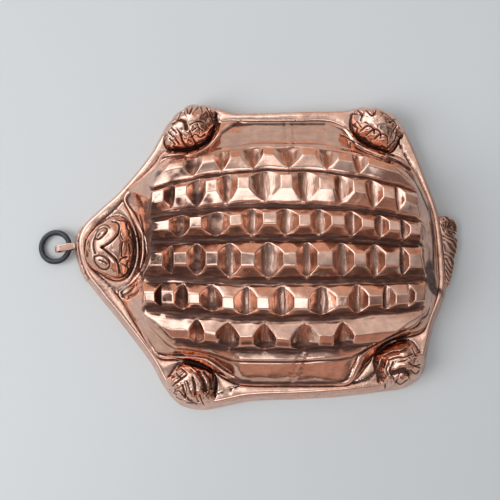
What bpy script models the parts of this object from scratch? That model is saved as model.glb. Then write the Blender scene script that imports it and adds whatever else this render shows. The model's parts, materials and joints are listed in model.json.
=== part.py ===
"""A tortoise-shaped copper mould with a hanging ring, standing on its open side.

The back is a dome pressed into six rows of flat-topped pyramids. It stands on a
flat deck, beside a head and four feet, and a flared wall carries the deck. A tail
and a hanger are soldered to the outside of that wall.

Frame: +Z up, the rim on z = 0, the head towards -X and the tail towards +X.
"""
import math

import bmesh
import bpy
from mathutils import Matrix, Vector

MM = 0.001

# The body's length and width at the rim. Every outline and row below is drawn for the rim's own outline,
# and is stretched with it.
BODY_LENGTH = 288.0 * MM
BODY_WIDTH = 239.5 * MM

# The copper sheet, and the room left between two pieces that touch.
SHEET = 1.2 * MM
JOIN_GAP = 0.3 * MM
SEAT_WIDTH = 4.0 * MM

# The flared wall and the deck that closes it. The deck's edge is turned down over a small radius.
DECK_HEIGHT = 16.0 * MM
WALL_FLARE = 5.0 * MM
RIM_HEIGHT = 1.5 * MM
LIP_HEIGHT = 5.0 * MM
DECK_EDGE_RADIUS = 2.2 * MM
OUTLINE_POINTS = 76

# The dome's heights above the table, and how far it drops to each side, to the front and to the rear.
# The places that it drops over are on the drawing, in millimetres.
DOME_TOP = 66.0 * MM
DOME_SIDE_DROP = 23.0 * MM
DOME_FRONT_DROP = 7.0 * MM
DOME_REAR_DROP = 16.0 * MM
DOME_HALF_WIDTH = 77.0
DOME_MIDDLE_X = 20.0
DOME_FRONT_REACH = 90.0
DOME_REAR_REACH = 105.0

# The pyramids and the channels between their rows.
PYRAMID_HEIGHT = 7.0 * MM
PLATEAU_LENGTH = 9.0 * MM
PLATEAU_SHARE = 0.36
ROW_END = 6.5 * MM
CHANNEL_HALF_WIDTH = 2.5 * MM
CHANNEL_FLOOR = 1.8 * MM
CHANNEL_DEPTH = 2.2 * MM
CHANNEL_POINTS = 24
ROW_BOW_MIDDLE = 25.0
ROW_BOW_REACH = 100.0

# The ribbon round the neck and over each leg, which is lower where it is narrower than its full width,
# and the bead along the outer rows.
RIBBON_HEIGHT = 3.6 * MM
RIBBON_FULL_WIDTH = 6.0 * MM
BEAD_WIDTH = 5.0 * MM
BEAD_HEIGHT = 1.2 * MM
FOOT_STEP = 1.5 * MM

# Head, feet and tail.
HEAD_RISE = 16.0 * MM
FOOT_RISE = 14.0 * MM
TOE_COUNT = 4
TOE_DEPTH = 2.6 * MM
TOE_SCALLOP = 0.07
HEAD_POINTS = 28
HEAD_RINGS = 7
FOOT_POINTS = 28
FOOT_RINGS = 5
TAIL_REACH = 11.0 * MM
TAIL_LENGTH = 56.0 * MM
TAIL_BOTTOM = 1.0 * MM
TAIL_TOP = 14.0 * MM
STRAND_DEPTH = 0.7 * MM
STRAND_COUNT = 7
TAIL_SECTIONS = 16
TAIL_STEPS = 9

# The hanger: a plate on the wall, a strap bent into an eye, and the iron ring in it.
PLATE_THICKNESS = 1.2 * MM
PLATE_LENGTH = 46.0 * MM
PLATE_TOP_DROP = 4.1 * MM
PLATE_LOBE = 1.4 * MM
PLATE_STATIONS = 24
STRAP_THICKNESS = 1.3 * MM
STRAP_WIDTH = 5.2 * MM
STRAP_REACH = 15.0 * MM
EYE_HEIGHT = 6.8 * MM
EYE_BOTTOM = 3.9 * MM
STRAP_SKEW = math.radians(10)
RING_WIRE = 4.3 * MM
RING_RADIUS = 11.4 * MM
RING_CLEARANCE = 0.4 * MM
RING_STANDOFF = 3.9 * MM

# The rim's outline on the table, clockwise from the head, in millimetres.
RIM_OUTLINE = (
    (-135, 5), (-131, 21), (-117, 36), (-102, 50), (-79, 79), (-70, 96), (-63, 107), (-50, 118),
    (-35, 119.5), (-18, 115), (-7, 113), (40, 114.5), (72, 115), (88, 117), (104, 115.5), (118, 107),
    (127, 92), (141, 55), (148.5, 31), (151.5, 8), (153, -20), (151, -34), (142, -56), (136, -79),
    (132, -93), (119, -103), (99, -106.5), (69, -110), (38, -112), (0, -113.5), (-22, -118),
    (-37, -120), (-53, -116), (-65, -103), (-76, -84), (-100, -53), (-116, -34), (-128, -18),
)

# How the dome comes down to the deck: ribbon, bead, and the power of the slope.
# A power over 1 makes the slope hollow and one under 1 makes it round.
STRETCHES = {
    "margin": (0.0, 1.0, 0.95),
    "hem": (1.0, 0.7, 1.3),
    "cheek": (0.0, 0.0, 0.9),
    "collar": (1.0, 0.0, 2.6),
    "rear": (0.3, 0.0, 0.85),
}

# The dome's foot on the deck, clockwise from the front of the left side, with the slope above each
# point and the width of the ribbon there.
DOME_FOOT = (
    (-9, 102, "hem", 1.5), (4, 102, "margin", 4), (34, 102, "margin", 4), (60, 102, "margin", 4),
    (73, 97.5, "hem", 3), (80.5, 91.5, "hem", 8), (86, 86, "hem", 7), (94, 81.5, "hem", 6.5),
    (104, 77.5, "hem", 6.5), (116, 73.5, "hem", 7), (124.5, 65.5, "hem", 4), (131.5, 52, "rear", 4),
    (139, 33, "rear", 5), (142, 16, "rear", 5), (143, -7, "rear", 5), (143, -27, "rear", 5),
    (139, -42, "rear", 4), (135, -53, "hem", 4), (129, -61.5, "hem", 5.5), (117, -65.5, "hem", 8.5),
    (106, -69, "hem", 10), (96.5, -75.5, "hem", 10), (87.5, -86, "hem", 10), (80, -95.5, "hem", 8),
    (73, -101, "hem", 3), (62, -101.5, "margin", 4), (30, -101.5, "margin", 4), (-6, -101, "margin", 4),
    (-17, -96.5, "hem", 5), (-27.5, -90.5, "hem", 6), (-35, -86.5, "hem", 6), (-44.5, -83.5, "hem", 4.5),
    (-56, -82, "hem", 4), (-66, -81.5, "hem", 3.5), (-72, -77, "hem", 2), (-86.5, -54, "cheek", 4),
    (-95, -39.5, "cheek", 4), (-99, -32, "collar", 2), (-91.5, -25.5, "collar", 5),
    (-88, -18.5, "collar", 7.5), (-85, -9.5, "collar", 8), (-84, -1.5, "collar", 8), (-84.5, 6, "collar", 8),
    (-86, 14, "collar", 7.5), (-88.5, 21.5, "collar", 7), (-92, 30, "collar", 6), (-96.5, 40.5, "collar", 2),
    (-92, 49, "cheek", 4), (-83.5, 57, "cheek", 4), (-73, 68, "cheek", 5), (-69, 74.5, "hem", 7),
    (-64, 78, "hem", 9), (-55.5, 78.5, "hem", 9), (-47, 79, "hem", 9), (-37.5, 82, "hem", 9),
    (-30, 87.5, "hem", 9.5), (-26.5, 94.5, "hem", 12), (-24, 100, "hem", 13), (-17.5, 102, "hem", 8),
)

# Places where the edge of the rows and the dome's foot face each other: edge, then foot.
SPOKES = (
    ((-60, 62), (-67, 76)), ((-30, 69), (-28, 92)), ((-8, 73), (-8, 102)), ((62, 73), (62, 101.5)),
    ((97, 66), (104, 77.5)), ((124, 20), (142, 16)), ((125, -22), (143, -27)), ((85, -73), (96.5, -75.5)),
    ((62, -77), (71, -101)), ((-6, -77), (-6, -101)), ((-53, -73), (-70, -79)), ((-72, -27), (-99, -32)),
    ((-71, 25), (-96.5, 40.5)),
)

# The lines between the rows, from the left side to the right: the middle's place, and the bow.
ROW_LINES = (
    (75.0, 18.0), (54.5, 15.0), (26.0, 7.0), (1.8, 2.0), (-29.0, -3.5), (-55.0, -8.0), (-78.5, -11.0),
)

# The plateaus' places along each row, front to rear, in millimetres.
PLATEAUS = (
    (-52, -30, -10, 14, 44, 69, 91),
    (-65, -49, -27, -4, 27, 55, 78, 100, 117),
    (-61, -37, -10, 14, 39, 62, 83, 103, 119),
    (-64, -48, -26, -1, 28, 53, 78, 101, 118),
    (-70, -57, -39, -15, 10, 37, 65, 88, 108, 122),
    (-46, -28, -2, 24, 55, 79),
)

HEAD_OUTLINE = (
    (-125.3, 1.5), (-124, 9.5), (-117.5, 18.5), (-112, 22.8), (-107, 25.8), (-101, 27), (-95, 24.5),
    (-90.5, 18.5), (-88, 11.5), (-87, 4), (-87.3, -4), (-88.5, -10.5), (-90.5, -15.5), (-94.5, -20.5),
    (-100, -22.5), (-106, -21.2), (-114, -17), (-120.5, -12.5), (-124.3, -6.5),
)
HEAD_MIDDLE = (-104, 1)
EYES = ((-111, 12.5), (-109.5, -11.5))
EYE_RADIUS = 5.2 * MM
EYE_BULGE = 1.8 * MM
BROW = ((-103, 23), (-98, 16), (-99, 8.5), (-105, 4), (-111, 1), (-105, -2), (-100, -8), (-98.5, -15), (-99, -21))
BROW_WIDTH = 2.6 * MM
BROW_DEPTH = 1.6 * MM

# Each foot: its outline on the deck, its middle, and the way its toes point, in degrees.
FEET = {
    "front_left_foot": (
        ((-52, 106.5), (-45, 110.5), (-36, 111), (-31, 107.5), (-29.5, 101.5), (-30.5, 95), (-34.5, 88.5),
         (-40.5, 84.5), (-48, 82.5), (-56, 82), (-62, 84), (-63.5, 89.5), (-62, 95), (-58, 101)),
        (-46, 96), 112,
    ),
    "rear_left_foot": (
        ((105.5, 80.5), (99.5, 83.5), (93, 86.5), (87, 91), (83.5, 95.5), (82, 101), (82.5, 105.5), (86, 108.5),
         (92, 109), (99, 108), (106, 105.5), (112.5, 101.5), (115, 97), (113.5, 90), (110.5, 84)),
        (98, 97), 62,
    ),
    "front_right_foot": (
        ((-47, -87), (-39, -87.5), (-33, -91.5), (-29.5, -97), (-29, -104), (-31, -110), (-37, -112),
         (-44, -110.5), (-50.5, -107.5), (-55.5, -102), (-57, -96.5), (-53, -90.5)),
        (-43.5, -99.5), -112,
    ),
    "rear_right_foot": (
        ((98.5, -79.5), (104, -76), (111.5, -72.5), (118.5, -71.5), (123, -75), (125.5, -80.5), (126, -86),
         (124, -90), (119.5, -93.5), (114, -96.5), (107.5, -98), (101.5, -98), (99, -93.5), (98, -86)),
        (112, -85), -58,
    ),
}

# Where the tail, the plate and the strap sit against the wall.
TAIL_PLACE = (152, 1)
PLATE_PLACE = (-135, -2)
STRAP_PLACE = (-135, 2)

DRAWN_LENGTH = max(x for x, y in RIM_OUTLINE) - min(x for x, y in RIM_OUTLINE)
DRAWN_WIDTH = max(y for x, y in RIM_OUTLINE) - min(y for x, y in RIM_OUTLINE)


def along(x):
    """A length on the drawing, as a real one along the body."""
    return x * BODY_LENGTH / DRAWN_LENGTH


def across(y):
    """A length on the drawing, as a real one across the body."""
    return y * BODY_WIDTH / DRAWN_WIDTH


def placed(point):
    """A point of the drawing in its real place."""
    return Vector((along(point[0]), across(point[1])))


def material(name, colour, roughness, metallic):
    made = bpy.data.materials.new(name)
    made.use_nodes = True
    shader = made.node_tree.nodes["Principled BSDF"]
    shader.inputs["Base Color"].default_value = (*colour, 1.0)
    shader.inputs["Roughness"].default_value = roughness
    shader.inputs["Metallic"].default_value = metallic
    return made


def add_object(name, bm, finish, collection, crease=35):
    mesh = bpy.data.meshes.new(name)
    bm.to_mesh(mesh)
    bm.free()
    mesh.materials.append(finish)
    mesh.shade_smooth()
    mesh.set_sharp_from_angle(angle=math.radians(crease))
    made = bpy.data.objects.new(name, mesh)
    collection.objects.link(made)
    return made


def add_thickness(made, thickness, offset=-1.0):
    shell = made.modifiers.new("sheet", "SOLIDIFY")
    shell.thickness = thickness
    shell.offset = offset
    return made


def face_up(bm):
    """Turn an open sheet's faces one way, with most of them looking up."""
    bmesh.ops.recalc_face_normals(bm, faces=bm.faces)
    if sum(face.normal.z * face.calc_area() for face in bm.faces) < 0:
        bmesh.ops.reverse_faces(bm, faces=bm.faces)


def face_away(bm, middle):
    """Turn an open sheet's faces one way, away from an upright line through a point."""
    bmesh.ops.recalc_face_normals(bm, faces=bm.faces)
    outward = 0.0
    for face in bm.faces:
        arm = face.calc_center_median() - middle
        outward += face.normal.x * arm.x + face.normal.y * arm.y
    if outward < 0:
        bmesh.ops.reverse_faces(bm, faces=bm.faces)


def hermite(start, end, start_slope, end_slope, t):
    """A point on the smooth curve between two points with given slopes."""
    a = 2 * t ** 3 - 3 * t ** 2 + 1
    b = t ** 3 - 2 * t ** 2 + t
    return start * a + start_slope * b + end * (1 - a) + end_slope * (t ** 3 - t ** 2)


def dense_loop(points, steps=12):
    """A smooth closed curve through points of the drawing, as close-set points in their real places."""
    knots = [placed(point) for point in points]
    count = len(knots)
    spans = [(knots[(i + 1) % count] - knots[i]).length for i in range(count)]
    slopes = [
        (knots[(i + 1) % count] - knots[i - 1]) / (spans[i] + spans[i - 1])
        for i in range(count)
    ]
    curve = []
    for i in range(count):
        after = (i + 1) % count
        for step in range(steps):
            curve.append(hermite(knots[i], knots[after], slopes[i] * spans[i],
                                 slopes[after] * spans[i], step / steps))
    return curve


def lengths_round(loop):
    """The distance along a closed loop at each point, and once round."""
    totals = [0.0]
    for here, after in zip(loop, loop[1:] + loop[:1]):
        totals.append(totals[-1] + (after - here).length)
    return totals


def point_along(loop, totals, distance):
    """The point of a closed loop at a distance along it."""
    distance %= totals[-1]
    low, high = 0, len(loop)
    while high - low > 1:
        middle = (low + high) // 2
        if totals[middle] <= distance:
            low = middle
        else:
            high = middle
    share = (distance - totals[low]) / (totals[low + 1] - totals[low])
    return loop[low].lerp(loop[(low + 1) % len(loop)], share)


def even_loop(points, count):
    """A smooth closed curve through a few points, with its own points evenly spaced."""
    curve = dense_loop(points)
    totals = lengths_round(curve)
    return [point_along(curve, totals, totals[-1] * i / count) for i in range(count)]


def nearest_distance(loop, totals, point):
    """How far along a loop its nearest point to a given one is."""
    nearest = min(range(len(loop)), key=lambda i: (loop[i] - point).length)
    return totals[nearest]


def outward_normals(loop):
    """Unit normals of a closed loop, pointing out of it."""
    count = len(loop)
    area = sum(loop[i].x * loop[(i + 1) % count].y - loop[(i + 1) % count].x * loop[i].y for i in range(count))
    turn = 1.0 if area > 0 else -1.0
    normals = []
    for i in range(count):
        along = (loop[(i + 1) % count] - loop[i - 1]).normalized()
        normals.append(Vector((along.y, -along.x)) * turn)
    return normals


def inset_loop(loop, distance):
    return [point - normal * distance for point, normal in zip(loop, outward_normals(loop))]


def add_ring(bm, loop, height):
    return [bm.verts.new((point.x, point.y, height)) for point in loop]


def join_rings(bm, lower, upper, closed=True):
    """Quads between two rows of as many points."""
    count = len(lower)
    for i in range(count if closed else count - 1):
        after = (i + 1) % count
        bm.faces.new((lower[i], lower[after], upper[after], upper[i]))


def zip_rows(bm, first, second):
    """Triangles between two rows of points that run the same way but differ in number."""
    i, j = 0, 0
    while i < len(first) - 1 or j < len(second) - 1:
        step_first = j == len(second) - 1
        if not step_first and i < len(first) - 1:
            step_first = first[i + 1].co.x < second[j + 1].co.x
        if step_first:
            bm.faces.new((first[i], first[i + 1], second[j]))
            i += 1
        else:
            bm.faces.new((first[i], second[j + 1], second[j]))
            j += 1


def wall_inset(height):
    """How far the flared wall has come in from the rim at a height."""
    if height <= RIM_HEIGHT:
        return 0.0
    return WALL_FLARE * (height - RIM_HEIGHT) / (DECK_HEIGHT - RIM_HEIGHT)


def build_skirt(rim, finish, collection):
    """The flared wall: upright at the rim, then leaning in up to the deck's lip."""
    bm = bmesh.new()
    top = DECK_HEIGHT - LIP_HEIGHT - JOIN_GAP
    heights = (0.0, RIM_HEIGHT, top)
    rings = [add_ring(bm, inset_loop(rim, wall_inset(height)), height) for height in heights]
    for lower, upper in zip(rings, rings[1:]):
        join_rings(bm, lower, upper)
    face_away(bm, Vector((0, 0, 0)))
    return add_thickness(add_object("skirt", bm, finish, collection), SHEET)


def build_deck(rim, openings, finish, collection):
    """The flat deck, its edge turned down to meet the wall, with a hole under each hollow piece."""
    bm = bmesh.new()
    lip = DECK_HEIGHT - LIP_HEIGHT
    shoulder = DECK_HEIGHT - DECK_EDGE_RADIUS
    edge = wall_inset(shoulder)
    rings = [add_ring(bm, inset_loop(rim, wall_inset(height)), height) for height in (lip, shoulder)]
    for angle in (30, 60, 90):
        turned = math.radians(angle)
        inward = edge + DECK_EDGE_RADIUS * (1 - math.cos(turned))
        height = shoulder + DECK_EDGE_RADIUS * math.sin(turned)
        rings.append(add_ring(bm, inset_loop(rim, inward), height))
    for lower, upper in zip(rings, rings[1:]):
        join_rings(bm, lower, upper)
    loops = [rings[-1]] + [add_ring(bm, loop, DECK_HEIGHT) for loop in openings]
    border = []
    for loop in loops:
        for here, after in zip(loop, loop[1:] + loop[:1]):
            edge = bm.edges.get((here, after))
            border.append(edge or bm.edges.new((here, after)))
    bmesh.ops.triangle_fill(bm, use_beauty=True, edges=border, normal=(0, 0, 1))
    face_up(bm)
    return add_thickness(add_object("deck", bm, finish, collection, crease=20), SHEET)


def dome_height(x, y):
    """The dome's height between the pyramids."""
    height = DOME_TOP - DOME_SIDE_DROP * (abs(y) / across(DOME_HALF_WIDTH)) ** 2.4
    behind = x - along(DOME_MIDDLE_X)
    if behind > 0:
        return height - DOME_REAR_DROP * (behind / along(DOME_REAR_REACH)) ** 2.5
    return height - DOME_FRONT_DROP * (-behind / along(DOME_FRONT_REACH)) ** 2.5


def dome_point(x, y, lift=0.0):
    """A point on the dome, or off it along its normal."""
    step = 0.5 * MM
    slope_x = (dome_height(x + step, y) - dome_height(x - step, y)) / (2 * step)
    slope_y = (dome_height(x, y + step) - dome_height(x, y - step)) / (2 * step)
    normal = Vector((-slope_x, -slope_y, 1)).normalized()
    return Vector((x, y, dome_height(x, y))) + normal * lift


def line_y(line, x):
    """Where a line between rows runs: bowed towards the middle at the front and rear."""
    middle, bow = ROW_LINES[line]
    return across(middle - bow * ((x - along(ROW_BOW_MIDDLE)) / along(ROW_BOW_REACH)) ** 2)


def row_ends(row):
    return along(PLATEAUS[row][0]) - ROW_END, along(PLATEAUS[row][-1]) + ROW_END


def add_channels(bm):
    """The floors of the channels. Each has a line of points towards the row above it (1) and below it (-1)."""
    channels = []
    for line in range(len(ROW_LINES)):
        beside = [(side, row) for side, row in ((1, line - 1), (-1, line)) if 0 <= row < len(PLATEAUS)]
        ends = [row_ends(row) for side, row in beside]
        start = sum(end[0] for end in ends) / len(ends)
        stop = sum(end[1] for end in ends) / len(ends)
        floor = {}
        for side, row in beside:
            floor[side] = []
            for i in range(CHANNEL_POINTS + 1):
                x = start + (stop - start) * i / CHANNEL_POINTS
                point = dome_point(x, line_y(line, x) + side * CHANNEL_FLOOR / 2, -CHANNEL_DEPTH)
                floor[side].append(bm.verts.new(point))
        if len(floor) == 2:
            join_rings(bm, floor[-1], floor[1], closed=False)
        channels.append(floor)
    return channels


def add_row(bm, row, channels):
    """One row of pyramids, its foot joined to the channel on each side."""
    places = [along(place) for place in PLATEAUS[row]]
    start, stop = row_ends(row)
    cuts = [start] + [(here + after) / 2 for here, after in zip(places, places[1:])] + [stop]
    upper = [bm.verts.new(dome_point(x, line_y(row, x) - CHANNEL_HALF_WIDTH)) for x in cuts]
    lower = [bm.verts.new(dome_point(x, line_y(row + 1, x) + CHANNEL_HALF_WIDTH)) for x in cuts]
    for i, place in enumerate(places):
        half_length = min(PLATEAU_LENGTH, 0.5 * (cuts[i + 1] - cuts[i])) / 2
        middle = (line_y(row, place) + line_y(row + 1, place)) / 2
        half_width = (line_y(row, place) - line_y(row + 1, place)) * PLATEAU_SHARE / 2
        base = (lower[i], lower[i + 1], upper[i + 1], upper[i])
        corners = ((-1, -1), (1, -1), (1, 1), (-1, 1))
        top = [
            bm.verts.new(dome_point(place + a * half_length, middle + b * half_width, PYRAMID_HEIGHT))
            for a, b in corners
        ]
        join_rings(bm, base, top)
        bm.faces.new(top)
    zip_rows(bm, upper, channels[row][-1])
    zip_rows(bm, lower, channels[row + 1][1])


def edge_loop(bm):
    """The points round a sheet's outer edge, in order."""
    edges = [edge for edge in bm.edges if edge.is_boundary]
    first = edges[0]
    loop = [first.verts[0], first.verts[1]]
    while True:
        links = [edge for edge in loop[-1].link_edges if edge.is_boundary]
        after = [edge.other_vert(loop[-1]) for edge in links if edge.other_vert(loop[-1]) is not loop[-2]][0]
        if after is loop[0]:
            return loop
        loop.append(after)


def stretch_values(loop, totals):
    """The ribbon, bead, slope and width round the dome's foot, as distances along it with their values."""
    marks = []
    for x, y, kind, width in DOME_FOOT:
        marks.append((nearest_distance(loop, totals, placed((x, y))), (*STRETCHES[kind], width * MM)))
    return sorted(marks)


def values_at(marks, total, distance):
    """The values between the two marks round a distance."""
    for i, (place, values) in enumerate(marks):
        after_place, after = marks[(i + 1) % len(marks)]
        span = (after_place - place) % total
        past = (distance - place) % total
        if past <= span:
            share = past / span
            return [a + (b - a) * share for a, b in zip(values, after)]
    return marks[0][1]


def foot_distances(edge, foot, foot_totals):
    """For each point of the rows' edge, the distance along the dome's foot that faces it."""
    edge_totals = lengths_round(edge)
    pairs = []
    for from_edge, to_foot in SPOKES:
        start = nearest_distance(edge, edge_totals, placed(from_edge))
        stop = nearest_distance(foot, foot_totals, placed(to_foot))
        pairs.append((start, stop))
    pairs.sort()
    distances = []
    for place in edge_totals[:-1]:
        for i, (start, stop) in enumerate(pairs):
            after_start, after_stop = pairs[(i + 1) % len(pairs)]
            span = (after_start - start) % edge_totals[-1]
            past = (place - start) % edge_totals[-1]
            if past <= span:
                reach = (after_stop - stop) % foot_totals[-1]
                distances.append(stop + reach * past / span)
                break
    return distances


def slope_points(top, foot, values):
    """The points from the edge of the rows down to the deck, with the bead and the ribbon."""
    ribbon, bead, power, ribbon_width = values
    flat_top = Vector((top.x, top.y))
    length = (foot - flat_top).length
    ribbon_width = min(ribbon_width, 0.6 * length)
    ribbon_height = RIBBON_HEIGHT * min(1.0, ribbon_width / RIBBON_FULL_WIDTH)
    bead_width = min(BEAD_WIDTH, 0.25 * length)
    base = DECK_HEIGHT + JOIN_GAP + FOOT_STEP
    free = length - ribbon_width - bead_width
    stations = [(bead_width / 2 + ribbon_width + free, 0.0, bead), (ribbon_width + free, 0.0, -0.2 * bead)]
    stations += [(ribbon_width + free * share, 0.0, 0.0) for share in (0.66, 0.33)]
    stations += [(ribbon_width, -0.1, 0.0), (ribbon_width * 0.7, 1.0, 0.0), (ribbon_width * 0.2, 0.85, 0.0)]
    stations.append((0.0, 0.0, 0.0))
    points = []
    for from_foot, ribbon_share, bead_share in stations:
        share = from_foot / length
        place = foot.lerp(flat_top, share)
        height = base + (top.z - base) * share ** power
        height += ribbon * ribbon_share * ribbon_height + bead_share * BEAD_HEIGHT
        points.append(Vector((place.x, place.y, height)))
    points.append(Vector((foot.x, foot.y, DECK_HEIGHT + JOIN_GAP)))
    return points


def build_carapace(finish, collection):
    """The domed back: six rows of pyramids, and the slopes round them down to the deck."""
    bm = bmesh.new()
    channels = add_channels(bm)
    for row in range(len(PLATEAUS)):
        add_row(bm, row, channels)
    long_ends = [edge for edge in bm.edges if edge.is_boundary and edge.calc_length() > ROW_END * 1.3]
    bmesh.ops.subdivide_edges(bm, edges=long_ends, cuts=2)
    edge = edge_loop(bm)
    flat_edge = [Vector((vert.co.x, vert.co.y)) for vert in edge]
    turn = sum(a.x * b.y - b.x * a.y for a, b in zip(flat_edge, flat_edge[1:] + flat_edge[:1]))
    if turn > 0:
        edge.reverse()
        flat_edge.reverse()
    foot = dense_loop(DOME_FOOT)
    totals = lengths_round(foot)
    marks = stretch_values(foot, totals)
    columns = []
    for vert, distance in zip(edge, foot_distances(flat_edge, foot, totals)):
        values = values_at(marks, totals[-1], distance % totals[-1])
        points = slope_points(vert.co, point_along(foot, totals, distance), values)
        columns.append([vert] + [bm.verts.new(point) for point in points])
    rings = list(zip(*columns))
    for upper, lower in zip(rings, rings[1:]):
        join_rings(bm, upper, lower)
    face_up(bm)
    return add_thickness(add_object("carapace", bm, finish, collection, crease=25), SHEET)


def stroke_depth(point, path, width):
    """How deep a chased line is at a point: 1 on the line, falling to 0 at its width."""
    best = width
    for start, stop in zip(path, path[1:]):
        along = stop - start
        share = max(0.0, min(1.0, (point - start).dot(along) / along.length_squared))
        best = min(best, (point - start - along * share).length)
    return 1 - best / width


def build_boss(name, outline, middle, rise, relief, finish, collection, rings):
    """A hollow boss on the deck: an upright foot, then a round top with relief worked into it."""
    bm = bmesh.new()
    base = DECK_HEIGHT + JOIN_GAP
    rows = [add_ring(bm, outline, base), add_ring(bm, outline, base + FOOT_STEP)]
    for ring in range(1, rings):
        share = 1 - ring / rings
        row = []
        for point in outline:
            place = middle.lerp(point, share)
            height = base + FOOT_STEP + rise * (1 - share ** 2.6) ** 0.75
            row.append(bm.verts.new((place.x, place.y, height + relief(place, share))))
        rows.append(row)
    for lower, upper in zip(rows, rows[1:]):
        join_rings(bm, lower, upper)
    crown = bm.verts.new((middle.x, middle.y, base + FOOT_STEP + rise + relief(middle, 0.0)))
    last = rows[-1]
    for here, after in zip(last, last[1:] + last[:1]):
        bm.faces.new((here, after, crown))
    face_up(bm)
    return add_thickness(add_object(name, bm, finish, collection, crease=50), SHEET)


def build_head(finish, collection):
    """The head: a low boss with two ringed eyes, a scrolled brow and a blunt snout."""
    outline = even_loop(HEAD_OUTLINE, HEAD_POINTS)
    eyes = [placed(eye) for eye in EYES]
    brow = [placed(point) for point in BROW]

    def relief(place, share):
        height = -BROW_DEPTH * max(0.0, stroke_depth(place, brow, BROW_WIDTH))
        for eye in eyes:
            away = (place - eye).length / EYE_RADIUS
            height += EYE_BULGE * math.exp(-(away * 1.3) ** 2)
            height -= EYE_BULGE * 0.5 * math.exp(-((away - 1.25) * 4) ** 2)
        return height

    return build_boss("head", outline, placed(HEAD_MIDDLE), HEAD_RISE, relief, finish, collection, HEAD_RINGS)


def between_toes(off):
    """How deep in the gap between two toes an angle off the foot's heading is, from 0 to 1."""
    spread = max(0.0, math.cos(off)) ** 0.3
    return spread * (1 - abs(math.sin(off * TOE_COUNT))) ** 1.5


def off_heading(arm, heading):
    """The angle between a foot's heading and an arm from its middle, from -180 to 180 degrees."""
    return (math.atan2(arm.y, arm.x) - heading + math.pi) % (2 * math.pi) - math.pi


def foot_outline(points, middle, heading):
    """A foot's outline, drawn in a little between each two toes."""
    outline = []
    for point in even_loop(points, FOOT_POINTS):
        arm = point - middle
        outline.append(middle + arm * (1 - TOE_SCALLOP * between_toes(off_heading(arm, heading))))
    return outline


def build_foot(name, outline, middle, heading, finish, collection):
    """One foot: a boss with grooves between its toes on the outer side."""

    def relief(place, share):
        if share == 0.0:
            return 0.0
        off = off_heading(place - middle, heading)
        return -TOE_DEPTH * between_toes(off) * max(0.0, share - 0.3) / 0.7

    return build_boss(name, outline, middle, FOOT_RISE, relief, finish, collection, FOOT_RINGS)


def wall_frame(rim, rim_totals, distance, height, away):
    """A point off the wall's outside, at a distance along the rim and a height."""
    here = point_along(rim, rim_totals, distance)
    after = point_along(rim, rim_totals, distance + MM)
    before = point_along(rim, rim_totals, distance - MM)
    along = (after - before).normalized()
    outward = Vector((-along.y, along.x))
    place = here + outward * (away - wall_inset(height))
    return Vector((place.x, place.y, height))


def build_tail(rim, rim_totals, finish, collection):
    """The tail: a tuft of hair lying along the outside of the wall, thick in front and thin behind."""
    bm = bmesh.new()
    middle = nearest_distance(rim, rim_totals, placed(TAIL_PLACE))
    sections = []
    for i in range(TAIL_SECTIONS + 1):
        share = i / TAIL_SECTIONS
        distance = middle + (share - 0.5) * TAIL_LENGTH
        swell = math.sin(math.pi * (0.04 + 0.92 * share ** 0.8)) ** 0.6
        section = []
        for step in range(TAIL_STEPS + 1):
            turn = math.pi * (step / TAIL_STEPS - 0.5)
            strand = 1 - abs(math.sin(STRAND_COUNT * (turn + 3.0 * share)))
            away = JOIN_GAP + 0.6 * MM + TAIL_REACH * swell * math.cos(turn) - STRAND_DEPTH * strand * math.cos(turn)
            height = (TAIL_TOP + TAIL_BOTTOM) / 2 + (TAIL_TOP - TAIL_BOTTOM) / 2 * swell * math.sin(turn)
            section.append(bm.verts.new(wall_frame(rim, rim_totals, distance, height, away)))
        for height_share in (0.75, 0.5, 0.25):
            low, high = section[0].co.z, section[TAIL_STEPS].co.z
            height = low + (high - low) * height_share
            section.append(bm.verts.new(wall_frame(rim, rim_totals, distance, height, JOIN_GAP)))
        sections.append(section)
    for before, after in zip(sections, sections[1:]):
        join_rings(bm, before, after)
    bm.faces.new(sections[0])
    bm.faces.new(sections[-1])
    bmesh.ops.recalc_face_normals(bm, faces=bm.faces)
    return add_object("tail", bm, finish, collection, crease=60)


def build_plate(rim, rim_totals, finish, collection):
    """The plate that carries the strap: a curved strip on the wall, with lobed ends."""
    bm = bmesh.new()
    middle = nearest_distance(rim, rim_totals, placed(PLATE_PLACE))
    middle_height = EYE_BOTTOM + EYE_HEIGHT / 2
    half_height = DECK_HEIGHT - PLATE_TOP_DROP - middle_height
    stations = []
    for i in range(PLATE_STATIONS + 1):
        share = 2 * i / PLATE_STATIONS - 1
        lobes = PLATE_LOBE * abs(math.sin(share * math.pi * 2.5)) if abs(share) > 0.4 else PLATE_LOBE
        half = half_height - PLATE_LOBE + lobes - 0.35 * half_height * abs(share) ** 6
        distance = middle + share * PLATE_LENGTH / 2
        stations.append([
            bm.verts.new(wall_frame(rim, rim_totals, distance, middle_height + part * half, JOIN_GAP))
            for part in (-1, 0, 1)
        ])
    for before, after in zip(stations, stations[1:]):
        join_rings(bm, before, after, closed=False)
    face_away(bm, Vector((0, 0, 0)))
    return add_thickness(add_object("hanger_plate", bm, finish, collection), PLATE_THICKNESS, offset=1.0)


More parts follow.
